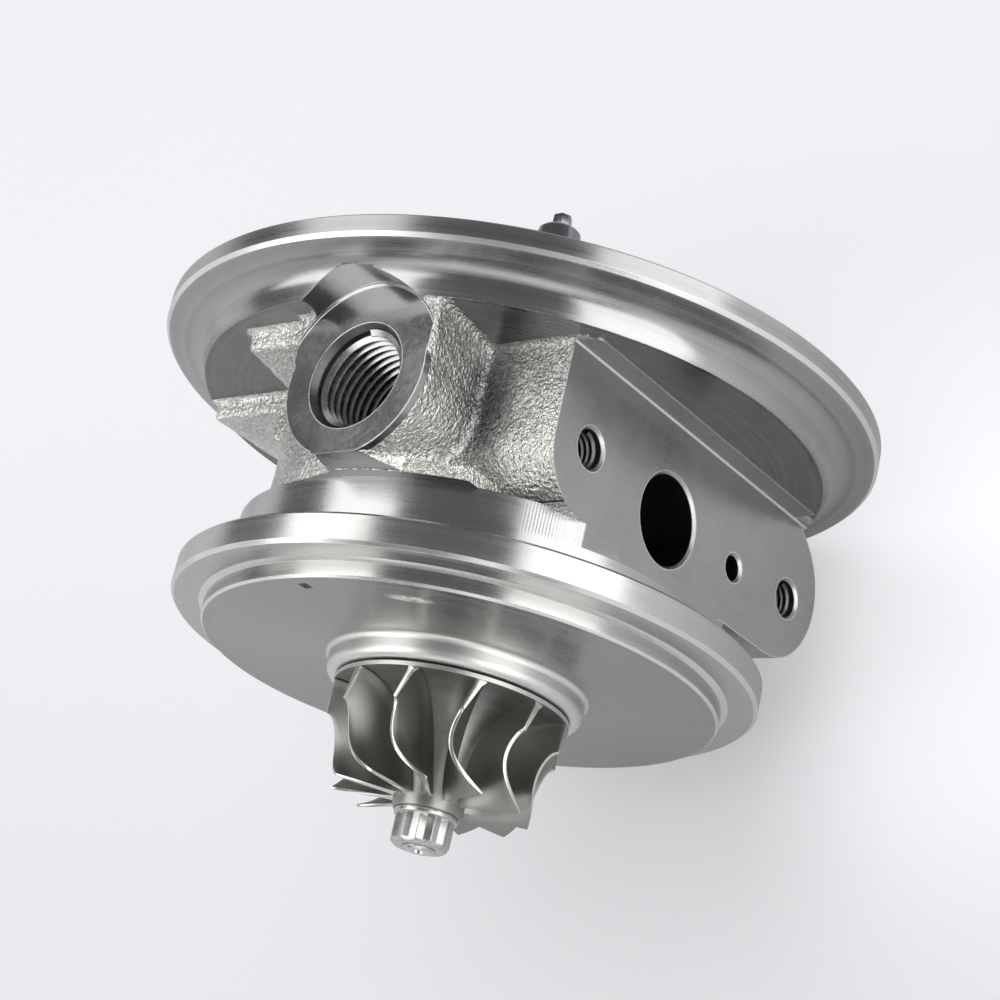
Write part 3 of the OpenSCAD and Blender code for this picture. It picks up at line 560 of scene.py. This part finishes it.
strip = {"x": -9.2, "y": -39.1, "z": (-33.5, 30.6), "sink": 0.5, "corner": 1.8}
fillet = {"leg": 0.26, "drop": 0.3, "sink": 0.4, "z": (-38, 30.9), "toe": 0.02, "back": 0.1}


def makeStrip():
    s = strip
    piece = block("strip", (s["x"], s["y"], s["z"][0]), (inFlange, pad["y"] + s["sink"], s["z"][1]))
    roundCorners(piece, s["corner"], 6, "X", lambda q: q.y < pad["y"] - 1 and q.z > 30)
    return markAll(piece, padMilled)


def makeFillet():
    f, y, x = fillet, pad["y"], strip["x"]
    piece = block("fillet", (x - f["leg"], y - f["drop"], f["z"][0]), (inFlange, y + f["sink"], f["z"][1]))
    shift(piece, "Y", y - f["toe"], lambda q: q.x < x - f["back"] and q.y < y)
    shift(piece, "X", x + f["back"], lambda q: q.x > x - f["back"] and q.y < y)
    # the whole fillet carries the painted edge highlight
    return markAll(piece, edgeHighlight)


def inletTool():
    n = inlet
    face, bottom = n["face"], n["face"] - n["depth"]
    return turned("inletTool", [
        (n["tipR"], bottom - n["tip"]), (n["drillR"], bottom), (n["rootR"], bottom),
        (n["rootR"], face - n["lead"]), (n["leadR"], face), (n["spotR"] - n["spotEdge"], face),
        (n["spotR"], face + n["spotEdge"]), (n["spotR"], face + n["spotDeep"]),
    ], 128, "Z", (n["x"], n["y"], 0))


def padHole(name, x, z, r, deep):
    y, lead = -pad["y"], pad["lead"]
    return turned(name, [(0.2, y - deep - r * 0.6), (r, y - deep), (r, y - lead), (r + lead + 0.01, y + 0.01),
                         (r + lead, y + 5)], 64, "-Y", (x, 0, z))


def makeHead():
    n = inlet
    top = n["face"] + 1
    return markAll(turned("head", [
        (core["eyeR"], n["face"] - n["headDeep"]), (n["headR"], n["face"] - n["skirt"]), (n["headR"], top),
        (core["eyeR"], top),
    ], 96, "Z", (n["x"], n["y"], 0)), inletMilled)


boreSteps = [(10.1, 5), (10.1, -6), (6.5, -6), (6.5, -32.3), (8.4, -32.3), (8.4, -33.9), (27.7, -33.9),
             (27.7, -50)]
holeZones = [(pad["drainX"], 0, pad["drainR"] + 0.75), (pad["drainX"], pad["dowelZ"], pad["dowelR"] + 0.8),
             *[(pad["screwX"], z, pad["screwR"] + 0.7) for z in pad["screwZ"]]]
chamferX = -flange["rim"] - flange["chamfer"] / 2
near = 0.03


def housingFace(q, way, now):
    p, n = pad, inlet
    fromInlet = math.hypot(q.x - n["x"], q.y - n["y"])
    if abs(q.y - p["y"]) < near and way.y < -0.9:
        return padMilled
    onSide = way.x < -0.7 and q.x < p["x1"] and q.y < -20 and q.z < -14
    if now == castGrey and onSide:  # narrow side of the pad
        return padMilled
    if abs(q.z - n["face"]) < near and way.z > 0.9:
        return inletMilled
    if min(abs(q.x - n["flatX"]), abs(q.x - shoulder["cutX"])) < near and way.x < -0.9:
        return plateauDark
    if fromInlet < n["spotR"] + 0.05 and q.z > n["face"] - 0.05:
        return inletMilled
    # the inlet bore wall and the pad hole walls get painted shade
    if fromInlet < n["leadR"] + 0.02 and q.z > 25:
        return boreShade
    if q.y < -5 and any(math.hypot(q.x - x, q.z - z) < r for x, z, r in holeZones):
        return padMilled if -0.9 < way.y < -0.3 and q.y < p["y"] + 1 else boreShade
    if now == castGrey and q.x > core["plateauX"] - 0.12 and way.x < -0.95:
        return plateauDark
    # the flange chamfer carries the painted edge highlight
    if now == flangeSteel and abs(q.x - chamferX) < 0.1:
        return edgeHighlight
    return None


def paintHighlightRim(piece, finish, axis, level):  # a thin painted highlight round a milled face
    way = "XYZ".index(axis)
    sign = math.copysign(1, level)

    def inside(face):
        return (face.material_index == housingFinish.index(finish) and face.normal[way] * sign > 0.99
                and abs(face.center[way] / mm - level) < 0.02)

    pickOnly(piece, "FACE", inside)
    bpy.ops.mesh.inset(thickness=0.16 * mm, depth=0.0, use_even_offset=True)
    bpy.ops.object.mode_set(mode="OBJECT")
    for face in piece.data.polygons:
        q = face.center / mm
        # the inset ring round the face takes the painted highlight
        if inside(face) and not face.select and (q.x > -32.5 or q.z < -18):
            face.material_index = housingFinish.index(edgeHighlight)


def makeHousing():
    p, n = pad, inlet
    piece = makeCast()
    cutBy(piece, makeHead(), "UNION")
    cutBy(piece, block("flatTool", (-60, -40, n["flatZ"]), (n["flatX"], 40, 70)))
    cutBy(piece, makeShoulder(), "UNION")
    cutBy(piece, shoulderTool())
    cutBy(piece, block("padTool", (p["ledgeX"], -past, -past), (strip["x"], p["y"], past)))
    cutBy(piece, makeStrip(), "UNION")
    cutBy(piece, makeFillet(), "UNION")
    cutBy(piece, padHole("drain", p["drainX"], 0, p["drainR"], p["drainDeep"]))
    for z in p["screwZ"]:
        cutBy(piece, padHole("screwHole", p["screwX"], z, p["screwR"], p["screwDeep"]))
    cutBy(piece, padHole("dowel", p["dowelX"], p["dowelZ"], p["dowelR"], p["dowelDeep"]))
    cutBy(piece, turned("bore", boreSteps, 160))
    ring = makeCollar()
    cutBy(ring, block("collarTool", (p["ledgeX"], -past, -past), (p["x0"], p["y"] + 0.02, past)))
    cutBy(piece, ring, "UNION")
    cutBy(piece, makeFlange(), "UNION")
    cutBy(piece, inletTool())
    piece.name = "housingBody"
    for face in piece.data.polygons:
        now = piece.data.materials[face.material_index]
        finish = housingFace(face.center / mm, face.normal, now)
        if finish:
            face.material_index = housingFinish.index(finish)
    paintHighlightRim(piece, padMilled, "Y", p["y"])
    paintHighlightRim(piece, inletMilled, "Z", n["face"])
    return smoothEdges(piece, 24)


def makeThread(name, finish, axis, at, rootR, ridgeR, pitch, length, steps):
    dropAll()
    bpy.ops.mesh.primitive_circle_add(vertices=4, radius=1.0)
    piece = bpy.context.object
    piece.name = name
    foot, crest = pitch * 0.44, pitch * 0.07
    corners = [(rootR, foot), (ridgeR, crest), (ridgeR, -crest), (rootR, -foot)]
    settle(piece)
    for v, (r, z) in zip(piece.data.vertices, corners):
        v.co = (r * mm, 0, z * mm)
    addApply(piece, "SCREW", axis="Z", angle=math.tau, screw_offset=pitch * mm, steps=steps,
             iterations=int(length / pitch), render_steps=steps, use_smooth_shade=True)
    outward(moved(piece, axis, at))
    return smoothEdges(coat(piece, finish), 35)


def makeInletThread():
    n = inlet
    at = (n["x"], n["y"], n["face"] - n["depth"] + 0.6)
    return makeThread("inletThread", threadSteel, "Z", at, n["rootR"] + 0.02, n["ridgeR"], n["pitch"],
                      n["depth"] - n["lead"] - 0.4, 72)


def makePadThread(name, z):
    p = pad
    at = (p["screwX"], p["y"] + p["screwDeep"] - 0.4, z)
    # the pad threads carry the painted shade of their holes
    return makeThread(name, boreShade, "-Y", at, p["screwR"] + 0.02, p["ridgeR"], p["pitch"],
                      p["screwDeep"] - 1.2, 40)


housingPieces = [makeHousing()]
print("housing made", len(housingPieces[0].data.polygons))
housingPieces.append(makeInletThread())
for i, z in enumerate(pad["screwZ"]):
    housingPieces.append(makePadThread("padThread%d" % (i + 1), z))
for piece in housingPieces:
    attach(piece, "housing")
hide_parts("bearing_housing")
print("threads made")


# back plate

plate = {"x0": -42.4, "r": 47.8, "x1": -47.3, "edge": 0.4, "rimEdge": 0.6, "step": 1.0, "pilotR": 42.1,
         "pilotX": -50.4, "ringR": 20.8, "ringFoot": 1.0, "lipX": -54.0, "lip": 1.4, "bowlR": 17.85,
         "bowlX": -50.8, "spigotR": 28.5, "spigotX": -39.8, "roomR": 22.9, "roomX": -41.4, "boreR": 7.5,
         "eyeR": 10, "eyeX": -49.9, "grooveR": 27.0, "groove": (-40.35, -41.85),
         "notchLow": (-51, -1.5, 37.6), "notchHigh": (-49.6, 0.2, 39.6)}
plateFinish = (plateSatin, plateFace, ringBright, edgeHighlight)


def plateFinishAt(q, way):
    b = plate
    r = math.hypot(q.y, q.z)
    if way.x < -0.95 and abs(q.x - b["pilotX"]) < 0.3 and r < b["pilotR"]:
        return plateFace
    if q.x < b["pilotX"] - 0.1 and r > b["bowlR"] + 0.05:
        return ringBright
    # the plate's rim chamfer carries the painted edge highlight
    if -0.9 < way.x < -0.5 and r > b["pilotR"] - 0.5:
        return edgeHighlight
    return plateSatin


def makePlate():
    b = plate
    edge, rimEdge, foot, lip = b["edge"], b["rimEdge"], b["ringFoot"], b["lip"]
    piece = turned("backPlate", [
        (b["boreR"], b["roomX"]), (b["roomR"], b["roomX"]), (b["roomR"], b["spigotX"]),
        (b["spigotR"], b["spigotX"]), (b["spigotR"], b["groove"][0]), (b["grooveR"], b["groove"][0]),
        (b["grooveR"], b["groove"][1]), (b["spigotR"], b["groove"][1]), (b["spigotR"], b["x0"]),
        (b["r"] - edge, b["x0"]), (b["r"], b["x0"] - edge), (b["r"], b["x1"] + rimEdge),
        (b["r"] - rimEdge, b["x1"]), (b["pilotR"] + b["step"], b["x1"] - 0.1),
        (b["pilotR"], b["x1"] - rimEdge), (b["pilotR"], b["pilotX"] + edge),
        (b["pilotR"] - edge, b["pilotX"]), (b["ringR"] + foot, b["pilotX"]),
        *bow(b["ringR"] + foot, b["pilotX"] - foot, foot, 90, 180, 6),
        *bow(b["ringR"] - lip, b["lipX"] + lip, lip, 0, -90, 8), (b["bowlR"], b["lipX"]),
        (b["bowlR"], b["bowlX"]), (b["eyeR"], b["bowlX"]), (b["eyeR"], b["eyeX"]), (b["boreR"], b["eyeX"]),
    ], 256, closed=True)
    cutBy(piece, block("notch", b["notchLow"], b["notchHigh"]))
    coat(piece, *plateFinish)
    for face in piece.data.polygons:
        face.material_index = plateFinish.index(plateFinishAt(face.center / mm, face.normal))
    return smoothEdges(piece, 24)


backPlate = makePlate()
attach(backPlate, "housing")
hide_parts("compressor_back_plate")
print("back plate made")


# compressor wheel: hub, eleven blades, nut

wheel = {"r": 19.05, "bladeR": 18.98, "hubR": 5.7, "inletR": 16.0, "inletX": -71.2, "discX": -55.1,
         "backX": -54.4, "outletH": 5.1, "blades": 11, "phase": -166.0, "hubWrap": (5.8, 4.0, 13.2),
         "tipWrap": (0.0, -10.0, 33.0), "root": 1.15, "tip": 0.62, "shell": 2.0, "stubR": 2.52, "bossR": 9,
         "bossX": -50.1, "nutX": -72.8}


def wheelPoint(s, t):
    w = wheel
    wave, fall = math.sin(s * math.pi / 2), math.cos(s * math.pi / 2)
    u = 1 - wave
    ends = []
    for endX, innerR, wrap in ((w["discX"], w["hubR"], w["hubWrap"]),
                               (w["discX"] - w["outletH"], w["inletR"], w["tipWrap"])):
        ends.append((w["inletX"] + (endX - w["inletX"]) * wave, w["bladeR"] - (w["bladeR"] - innerR) * fall,
                     wrap[0] + wrap[1] * u + wrap[2] * u ** 3))
    return [a + (b - a) * t for a, b in zip(*ends)]


def wheelThick(s, t):
    w = wheel
    flare = max(0.0, 1 - t / 0.16) ** 2 * 1.1
    edge = 0.72 + 0.28 * min(1.0, s / 0.12)
    return min(1.0, (w["root"] + (w["tip"] - w["root"]) * t + flare) * edge / w["shell"])


def aroundShaft(x, r, turn):
    a = math.radians(turn)
    return Vector((x, r * math.sin(a), -r * math.cos(a))) * mm


def makeBlade(name, pointAt, along, across, thickAt, low, shell):
    dropAll()
    bpy.ops.mesh.primitive_grid_add(x_subdivisions=along, y_subdivisions=across, size=2)
    piece = bpy.context.object
    piece.name = name
    coat(piece, wheelAlloy, wheelEdgeHighlight)
    weights = piece.vertex_groups.new(name="thick")
    for v in piece.data.vertices:
        s, t = (v.co.x + 1) / 2, (v.co.y + 1) / 2
        t = low + (1 - low) * t
        v.co = aroundShaft(*pointAt(s, t))
        weights.add([v.index], thickAt(s, t), "REPLACE")
    # the rim faces take the second finish, the painted edge highlight
    addApply(piece, "SOLIDIFY", thickness=shell * mm, offset=0.0, vertex_group="thick", use_even_offset=True,
             use_rim=True, thickness_vertex_group=0.0, material_offset_rim=1)
    return outward(piece)


def copyRound(name, piece, count, start):
    copies = []
    for i in range(count):
        other = piece.copy()
        other.data = piece.data.copy()
        bpy.context.collection.objects.link(other)
        other.rotation_euler = (math.radians(start + i * 360 / count), 0, 0)
        copies.append(settle(other))
    bpy.data.objects.remove(piece)
    return joinAll(name, copies)


def makeWheel():
    w = wheel
    hubCurve = [(wheelPoint(i / 24, 0)[1], wheelPoint(i / 24, 0)[0]) for i in range(1, 25)]
    hub = turned("compressorHub", [
        (w["stubR"], w["nutX"]), (w["hubR"] - 0.3, w["nutX"]), (w["hubR"], w["inletX"] - 0.8), *hubCurve,
        (w["r"], w["discX"]), (w["r"], w["backX"]), (w["bossR"], w["backX"]), (w["bossR"], w["bossX"]),
        (w["stubR"], w["bossX"]),
    ], 176, closed=True)
    coat(hub, wheelHub, ringBright)
    for face in hub.data.polygons:
        q = face.center / mm
        onRim = abs(face.normal.x) < 0.5 and math.hypot(q.y, q.z) > w["r"] - 0.1 and q.x > w["discX"]
        face.material_index = 1 if onRim else 0
    smoothEdges(hub, 28)
    blade = makeBlade("blade", wheelPoint, 28, 10, wheelThick, -0.04, w["shell"])
    blades = copyRound("compressorBlades", blade, w["blades"], w["phase"])
    breakEdges(blades, 0.08, 2, 50)
    return hub, smoothEdges(blades, 40)


compressorHub, compressorBlades = makeWheel()
for piece in (compressorHub, compressorBlades):
    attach(piece, "rotor")
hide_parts("compressor_wheel")
print("compressor wheel made", len(compressorBlades.data.polygons))

nut = {"x0": -72.8, "x1": -78.4, "r": 4.8, "valley": 4.3, "points": 12, "washerR": 5.1, "washer": 1.0,
       "sink": 0.5, "boreR": 2.52, "boreEdge": 0.4, "corner": 0.7}


def makeNut():
    k = nut
    foot, edge, washerX = k["x0"] - k["sink"], k["boreEdge"], k["x0"] - k["washer"]
    body = turned("compressorNut", [
        (k["boreR"], foot), (k["r"], foot), (k["r"], k["x1"] + k["corner"]), (k["r"] - k["corner"], k["x1"]),
        (k["boreR"] + edge, k["x1"]), (k["boreR"], k["x1"] + edge),
    ], 2 * k["points"], closed=True)
    for v in body.data.vertices:
        step = round(math.atan2(v.co.y, v.co.z) / math.pi * k["points"])
        r = math.hypot(v.co.y, v.co.z)
        if step % 2 and r > 3.2 * mm:  # every second corner is a valley
            squeeze = min(r, k["valley"] * mm) / r
            v.co.y *= squeeze
            v.co.z *= squeeze
    breakEdges(body, 0.1, 2, 20)
    washer = turned("washer", [
        (k["boreR"], k["x0"]), (k["washerR"], k["x0"]), (k["washerR"], washerX + 0.2),
        (k["washerR"] - 0.3, washerX), (k["boreR"], washerX),
    ], 64, closed=True)
    breakEdges(washer, 0.1, 2, 24)
    return smoothEdges(coat(joinAll("compressorNut", [body, washer]), nutBright), 30)


compressorNut = makeNut()
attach(compressorNut, "rotor")
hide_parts("compressor_nut")
print("nut made")


# turbine wheel with its nose, and the heat shield behind it

turbine = {"r": 19.0, "outletR": 16.0, "hubR": 5.5, "backX": 5.4, "discT": 1.4, "tipX": 22.9, "inletW": 5.6,
           "blades": 10, "wrap": (16, 28), "bend": 1.6, "root": 1.6, "tip": 0.8, "shell": 3.0, "bossR": 8.0,
           "bossEdge": 0.6, "weldX": -3.5, "grooveR": 6.6, "groove": (-1.65, -0.35), "neckR": 4.4, "neck": 4,
           "noseR": 3.7, "noseEdge": 0.5, "noseX": 32.1, "hexR": 1.75, "hexEdge": 0.3, "hexX": 35.0}


def turbinePoint(s, t):
    w = turbine
    wave, fall = math.sin(s * math.pi / 2), math.cos(s * math.pi / 2)
    ends = []
    discX = w["backX"] + w["discT"]
    for endX, innerR in ((discX, w["hubR"]), (discX + w["inletW"], w["outletR"])):
        ends.append((w["tipX"] + (endX - w["tipX"]) * wave, w["r"] - (w["r"] - innerR) * fall))
    turn = -(w["wrap"][0] + w["wrap"][1] * t) * (1 - wave) ** w["bend"]
    return [a + (b - a) * t for a, b in zip(*ends)] + [turn]


def turbineThick(s, t):
    w = turbine
    flare = max(0.0, 1 - t / 0.2) ** 2
    return min(1.0, (w["root"] + (w["tip"] - w["root"]) * max(t, 0.0) + flare) / w["shell"])


def makeTurbine():
    w = turbine
    hubCurve = [(turbinePoint(i / 24, 0)[1], turbinePoint(i / 24, 0)[0]) for i in range(23, 0, -1)]
    rimR = hubCurve[0][0] + 0.2
    bossEdge, noseEdge, hexEdge = w["bossEdge"], w["noseEdge"], w["hexEdge"]
    hub = turned("turbineHub", [
        (w["bossR"], w["weldX"]), (w["bossR"], w["groove"][0]), (w["grooveR"], w["groove"][0]),
        (w["grooveR"], w["groove"][1]), (w["bossR"], w["groove"][1]), (w["bossR"], w["backX"] - bossEdge),
        (w["bossR"] + bossEdge, w["backX"]), (rimR - 0.2, w["backX"]), (rimR, w["backX"] + 0.2),
        (rimR, w["backX"] + 1.2), *hubCurve, (w["hubR"] - 0.1, w["tipX"] + 0.4),
        (w["neckR"], w["tipX"] + w["neck"]), (w["noseR"], w["noseX"] - noseEdge),
        (w["noseR"] - noseEdge, w["noseX"]), (1.2, w["noseX"]),
    ], 120)
    hexEnd = turned("hexEnd", [(w["hexR"], w["noseX"] - 1), (w["hexR"], w["hexX"] - hexEdge),
                               (w["hexR"] - hexEdge, w["hexX"])], 6)
    breakEdges(hexEnd, 0.12, 2, 30)
    hub = joinAll("turbineHub", [hub, hexEnd])
    coat(hub, hotAlloy, noseSteel)
    for face in hub.data.polygons:
        x = face.center.x / mm
        face.material_index = 1 if x > w["tipX"] + 0.3 or x < w["backX"] - 1 else 0
    smoothEdges(hub, 30)
    blade = coat(makeBlade("turbineBlade", turbinePoint, 24, 9, turbineThick, -0.06, w["shell"]), hotAlloy)
    for face in blade.data.polygons:
        face.material_index = 0
    blades = copyRound("turbineBlades", blade, w["blades"], 0.0)
    breakEdges(blades, 0.1, 2, 50)
    return hub, smoothEdges(blades, 40)


turbineHub, turbineBlades = makeTurbine()
for piece in (turbineHub, turbineBlades):
    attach(piece, "rotor")
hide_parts("turbine_wheel")

shield = {"r": 46.0, "eyeR": 10.5, "t": 1.0, "h": 4.4, "topR": 19.7, "topBend": 0.2, "footR": 33.3,
          "footBend": 0.3, "seat": -0.02}


def makeShield():
    s = shield
    under = s["h"] - s["t"]
    piece = turned("heatShield", [
        (s["eyeR"], under), (s["topR"] - s["topBend"], under), (s["footR"] - s["footBend"], -s["t"]),
        (s["r"], -s["t"]), (s["r"], s["seat"]), (s["footR"] + s["footBend"], s["seat"]),
        (s["topR"] + s["topBend"], s["h"]), (s["eyeR"], s["h"]),
    ], 192, closed=True)
    breakEdges(piece, 0.3, 3, 12)
    return smoothEdges(coat(piece, shieldSheet), 30)


heatShield = makeShield()
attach(heatShield, "housing")
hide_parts("heat_shield")
print("turbine side made")


# carried-over nodes keep their shape and get their finish

nodeFinish = {
    "back_plate_o_ring": sealRubber, "back_plate_pin": shaftSteel, "rotor_shaft": shaftSteel,
    "turbine_piston_ring": shaftSteel, "turbine_journal_bearing": bearingBronze,
    "compressor_journal_bearing": bearingBronze, "turbine_outer_circlip": shaftSteel,
    "turbine_inner_circlip": shaftSteel, "compressor_circlip": shaftSteel, "thrust_collar": shaftSteel,
    "thrust_bearing": bearingBronze, "thrust_bearing_screws": shaftSteel, "oil_deflector": shaftSteel,
    "seal_sleeve": shaftSteel, "compressor_piston_ring": shaftSteel,
}
for name, finish in nodeFinish.items():
    coat(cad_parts[name], finish)
print("carried-over nodes finished")


# floor, light and camera, in metres

ground = {"size": 6.0, "z": -0.0602, "dark": (0.655, 0.65, 0.675), "pale": (0.695, 0.69, 0.715),
          "rough": 0.8, "shine": 0.2, "glow": (0.98, 0.97, 1.0, 1), "glowX": (-0.12, 0.06, 0.33, 0.42),
          "side": (0.21, -0.79), "padPaintedLight": (0.0, 0.03, 0, 0.20), "padFades": (0.04, 0.12, 1, 0),
          "padStart": (-0.09, -0.03, 0, 1), "padEnd": (0.0, 0.07, 1, 0),
          "gleamY": (-0.20, -0.08, 0.42, 0.19)}


def makeFloor():
    g = ground
    dropAll()
    bpy.ops.mesh.primitive_plane_add(size=g["size"], location=(0, 0, g["z"]))
    floor = bpy.context.object
    floor.name = "floor"
    finish, skin = newFinish("paleFloor", 0.0)
    cloud = grain(finish, place(finish), 3.0, 2.0)
    plug(finish, skin.inputs["Base Color"], shade(finish, cloud, g["dark"], g["pale"]))
    skin.inputs["Roughness"].default_value = g["rough"]
    skin.inputs["Specular IOR Level"].default_value = g["shine"]
    skin.inputs["Emission Color"].default_value = g["glow"]
    path = put(finish, "ShaderNodeLightPath").outputs
    x, y = put(finish, "ShaderNodeSeparateXYZ", {0: place(finish)}).outputs[:2]
    side = weighted(finish, (x, g["side"][0]), (y, g["side"][1]))
    pale = spread(finish, side, *g["padPaintedLight"], "SMOOTHSTEP")  # painted light that weakens the shadow beside the pad
    for value, ends in ((side, g["padFades"]), (x, g["padStart"]), (x, g["padEnd"])):
        pale = sums(finish, "MULTIPLY", pale, spread(finish, value, *ends, "SMOOTHSTEP"))
    pale = sums(finish, "ADD", spread(finish, x, *g["glowX"], "SMOOTHSTEP"), pale)
    direct = sums(finish, "MAXIMUM", path["Is Camera Ray"], path["Is Transmission Ray"])
    seen = sums(finish, "MULTIPLY", direct, pale)
    gleam = sums(finish, "MULTIPLY", path["Is Glossy Ray"], spread(finish, y, *g["gleamY"]))
    plug(finish, skin.inputs["Emission Strength"], sums(finish, "MAXIMUM", seen, gleam))
    coat(floor, finish)


studio = {"colour": (0.96, 0.98, 1.0, 1), "level": 0.2}
boxes = {
    "sideBox": {"at": (-0.30, -0.70, 0.21), "size": (1.50, 0.54), "glow": 2.4},
    "farWall": {"at": (-0.1, 1.2, 0.18), "size": (2.0, 0.46), "glow": 0.65},
    "frontBox": {"at": (-0.95, 0.08, 0.14), "size": (0.36, 0.80), "glow": 1.3, "turn": (0, -math.pi / 2, 0)},
    "backBox": {"at": (0.05, 0.24, 0.68), "size": (0.62, 0.46), "glow": 2.4},
    "endBox": {"at": (-0.60, 0.38, 0.61), "size": (0.66, 0.80), "glow": 2.4},
}
fill = {"at": (-0.1, 0.1, 1.6), "size": (2.6, 2.6), "glow": 1.2, "turn": (0, 0, 0)}


def makeLamp(name, lamp):
    dropAll()
    wide, high = lamp["size"]
    toShaft = (math.atan2(-lamp["at"][1], lamp["at"][2]), 0, 0)
    bpy.ops.object.light_add(type="AREA", location=lamp["at"])
    made = bpy.context.object
    made.name = name
    made.data.shape = "RECTANGLE"
    made.data.size, made.data.size_y = wide, high
    made.data.energy = lamp["glow"] * math.pi * wide * high
    made.rotation_euler = lamp.get("turn", toShaft)
    made.visible_camera = False
    return made


def makeStudio():
    world = bpy.data.worlds.new("studio")
    scene.world = world
    world.use_nodes = True
    back = world.node_tree.nodes["Background"]
    back.inputs[0].default_value = studio["colour"]
    back.inputs[1].default_value = studio["level"]
    for name, lamp in boxes.items():
        makeLamp(name, lamp).visible_diffuse = False  # seen in the metal only
    makeLamp("fill", fill).visible_glossy = False


view = {"at": (-162.95, -245.03, 278.4), "look": (0.36248, 0.6153, -0.70001),
        "right": (0.20832, -0.78558, -0.58264), "lens": 87.22, "sensor": 36, "clip": 0.01}


def makeCamera():
    look = Vector(view["look"]).normalized()
    right = Vector(view["right"])
    right = (right - look * right.dot(look)).normalized()
    turn = Matrix((right, right.cross(look), -look)).transposed().to_4x4()
    bpy.ops.object.camera_add()
    camera = bpy.context.object
    camera.matrix_world = Matrix.Translation(Vector(view["at"]) * mm) @ turn
    camera.data.lens = view["lens"]
    camera.data.sensor_width = view["sensor"]
    camera.data.clip_start = view["clip"]
    scene.camera = camera


makeFloor()
makeStudio()
makeCamera()
print("floor, light and camera made")
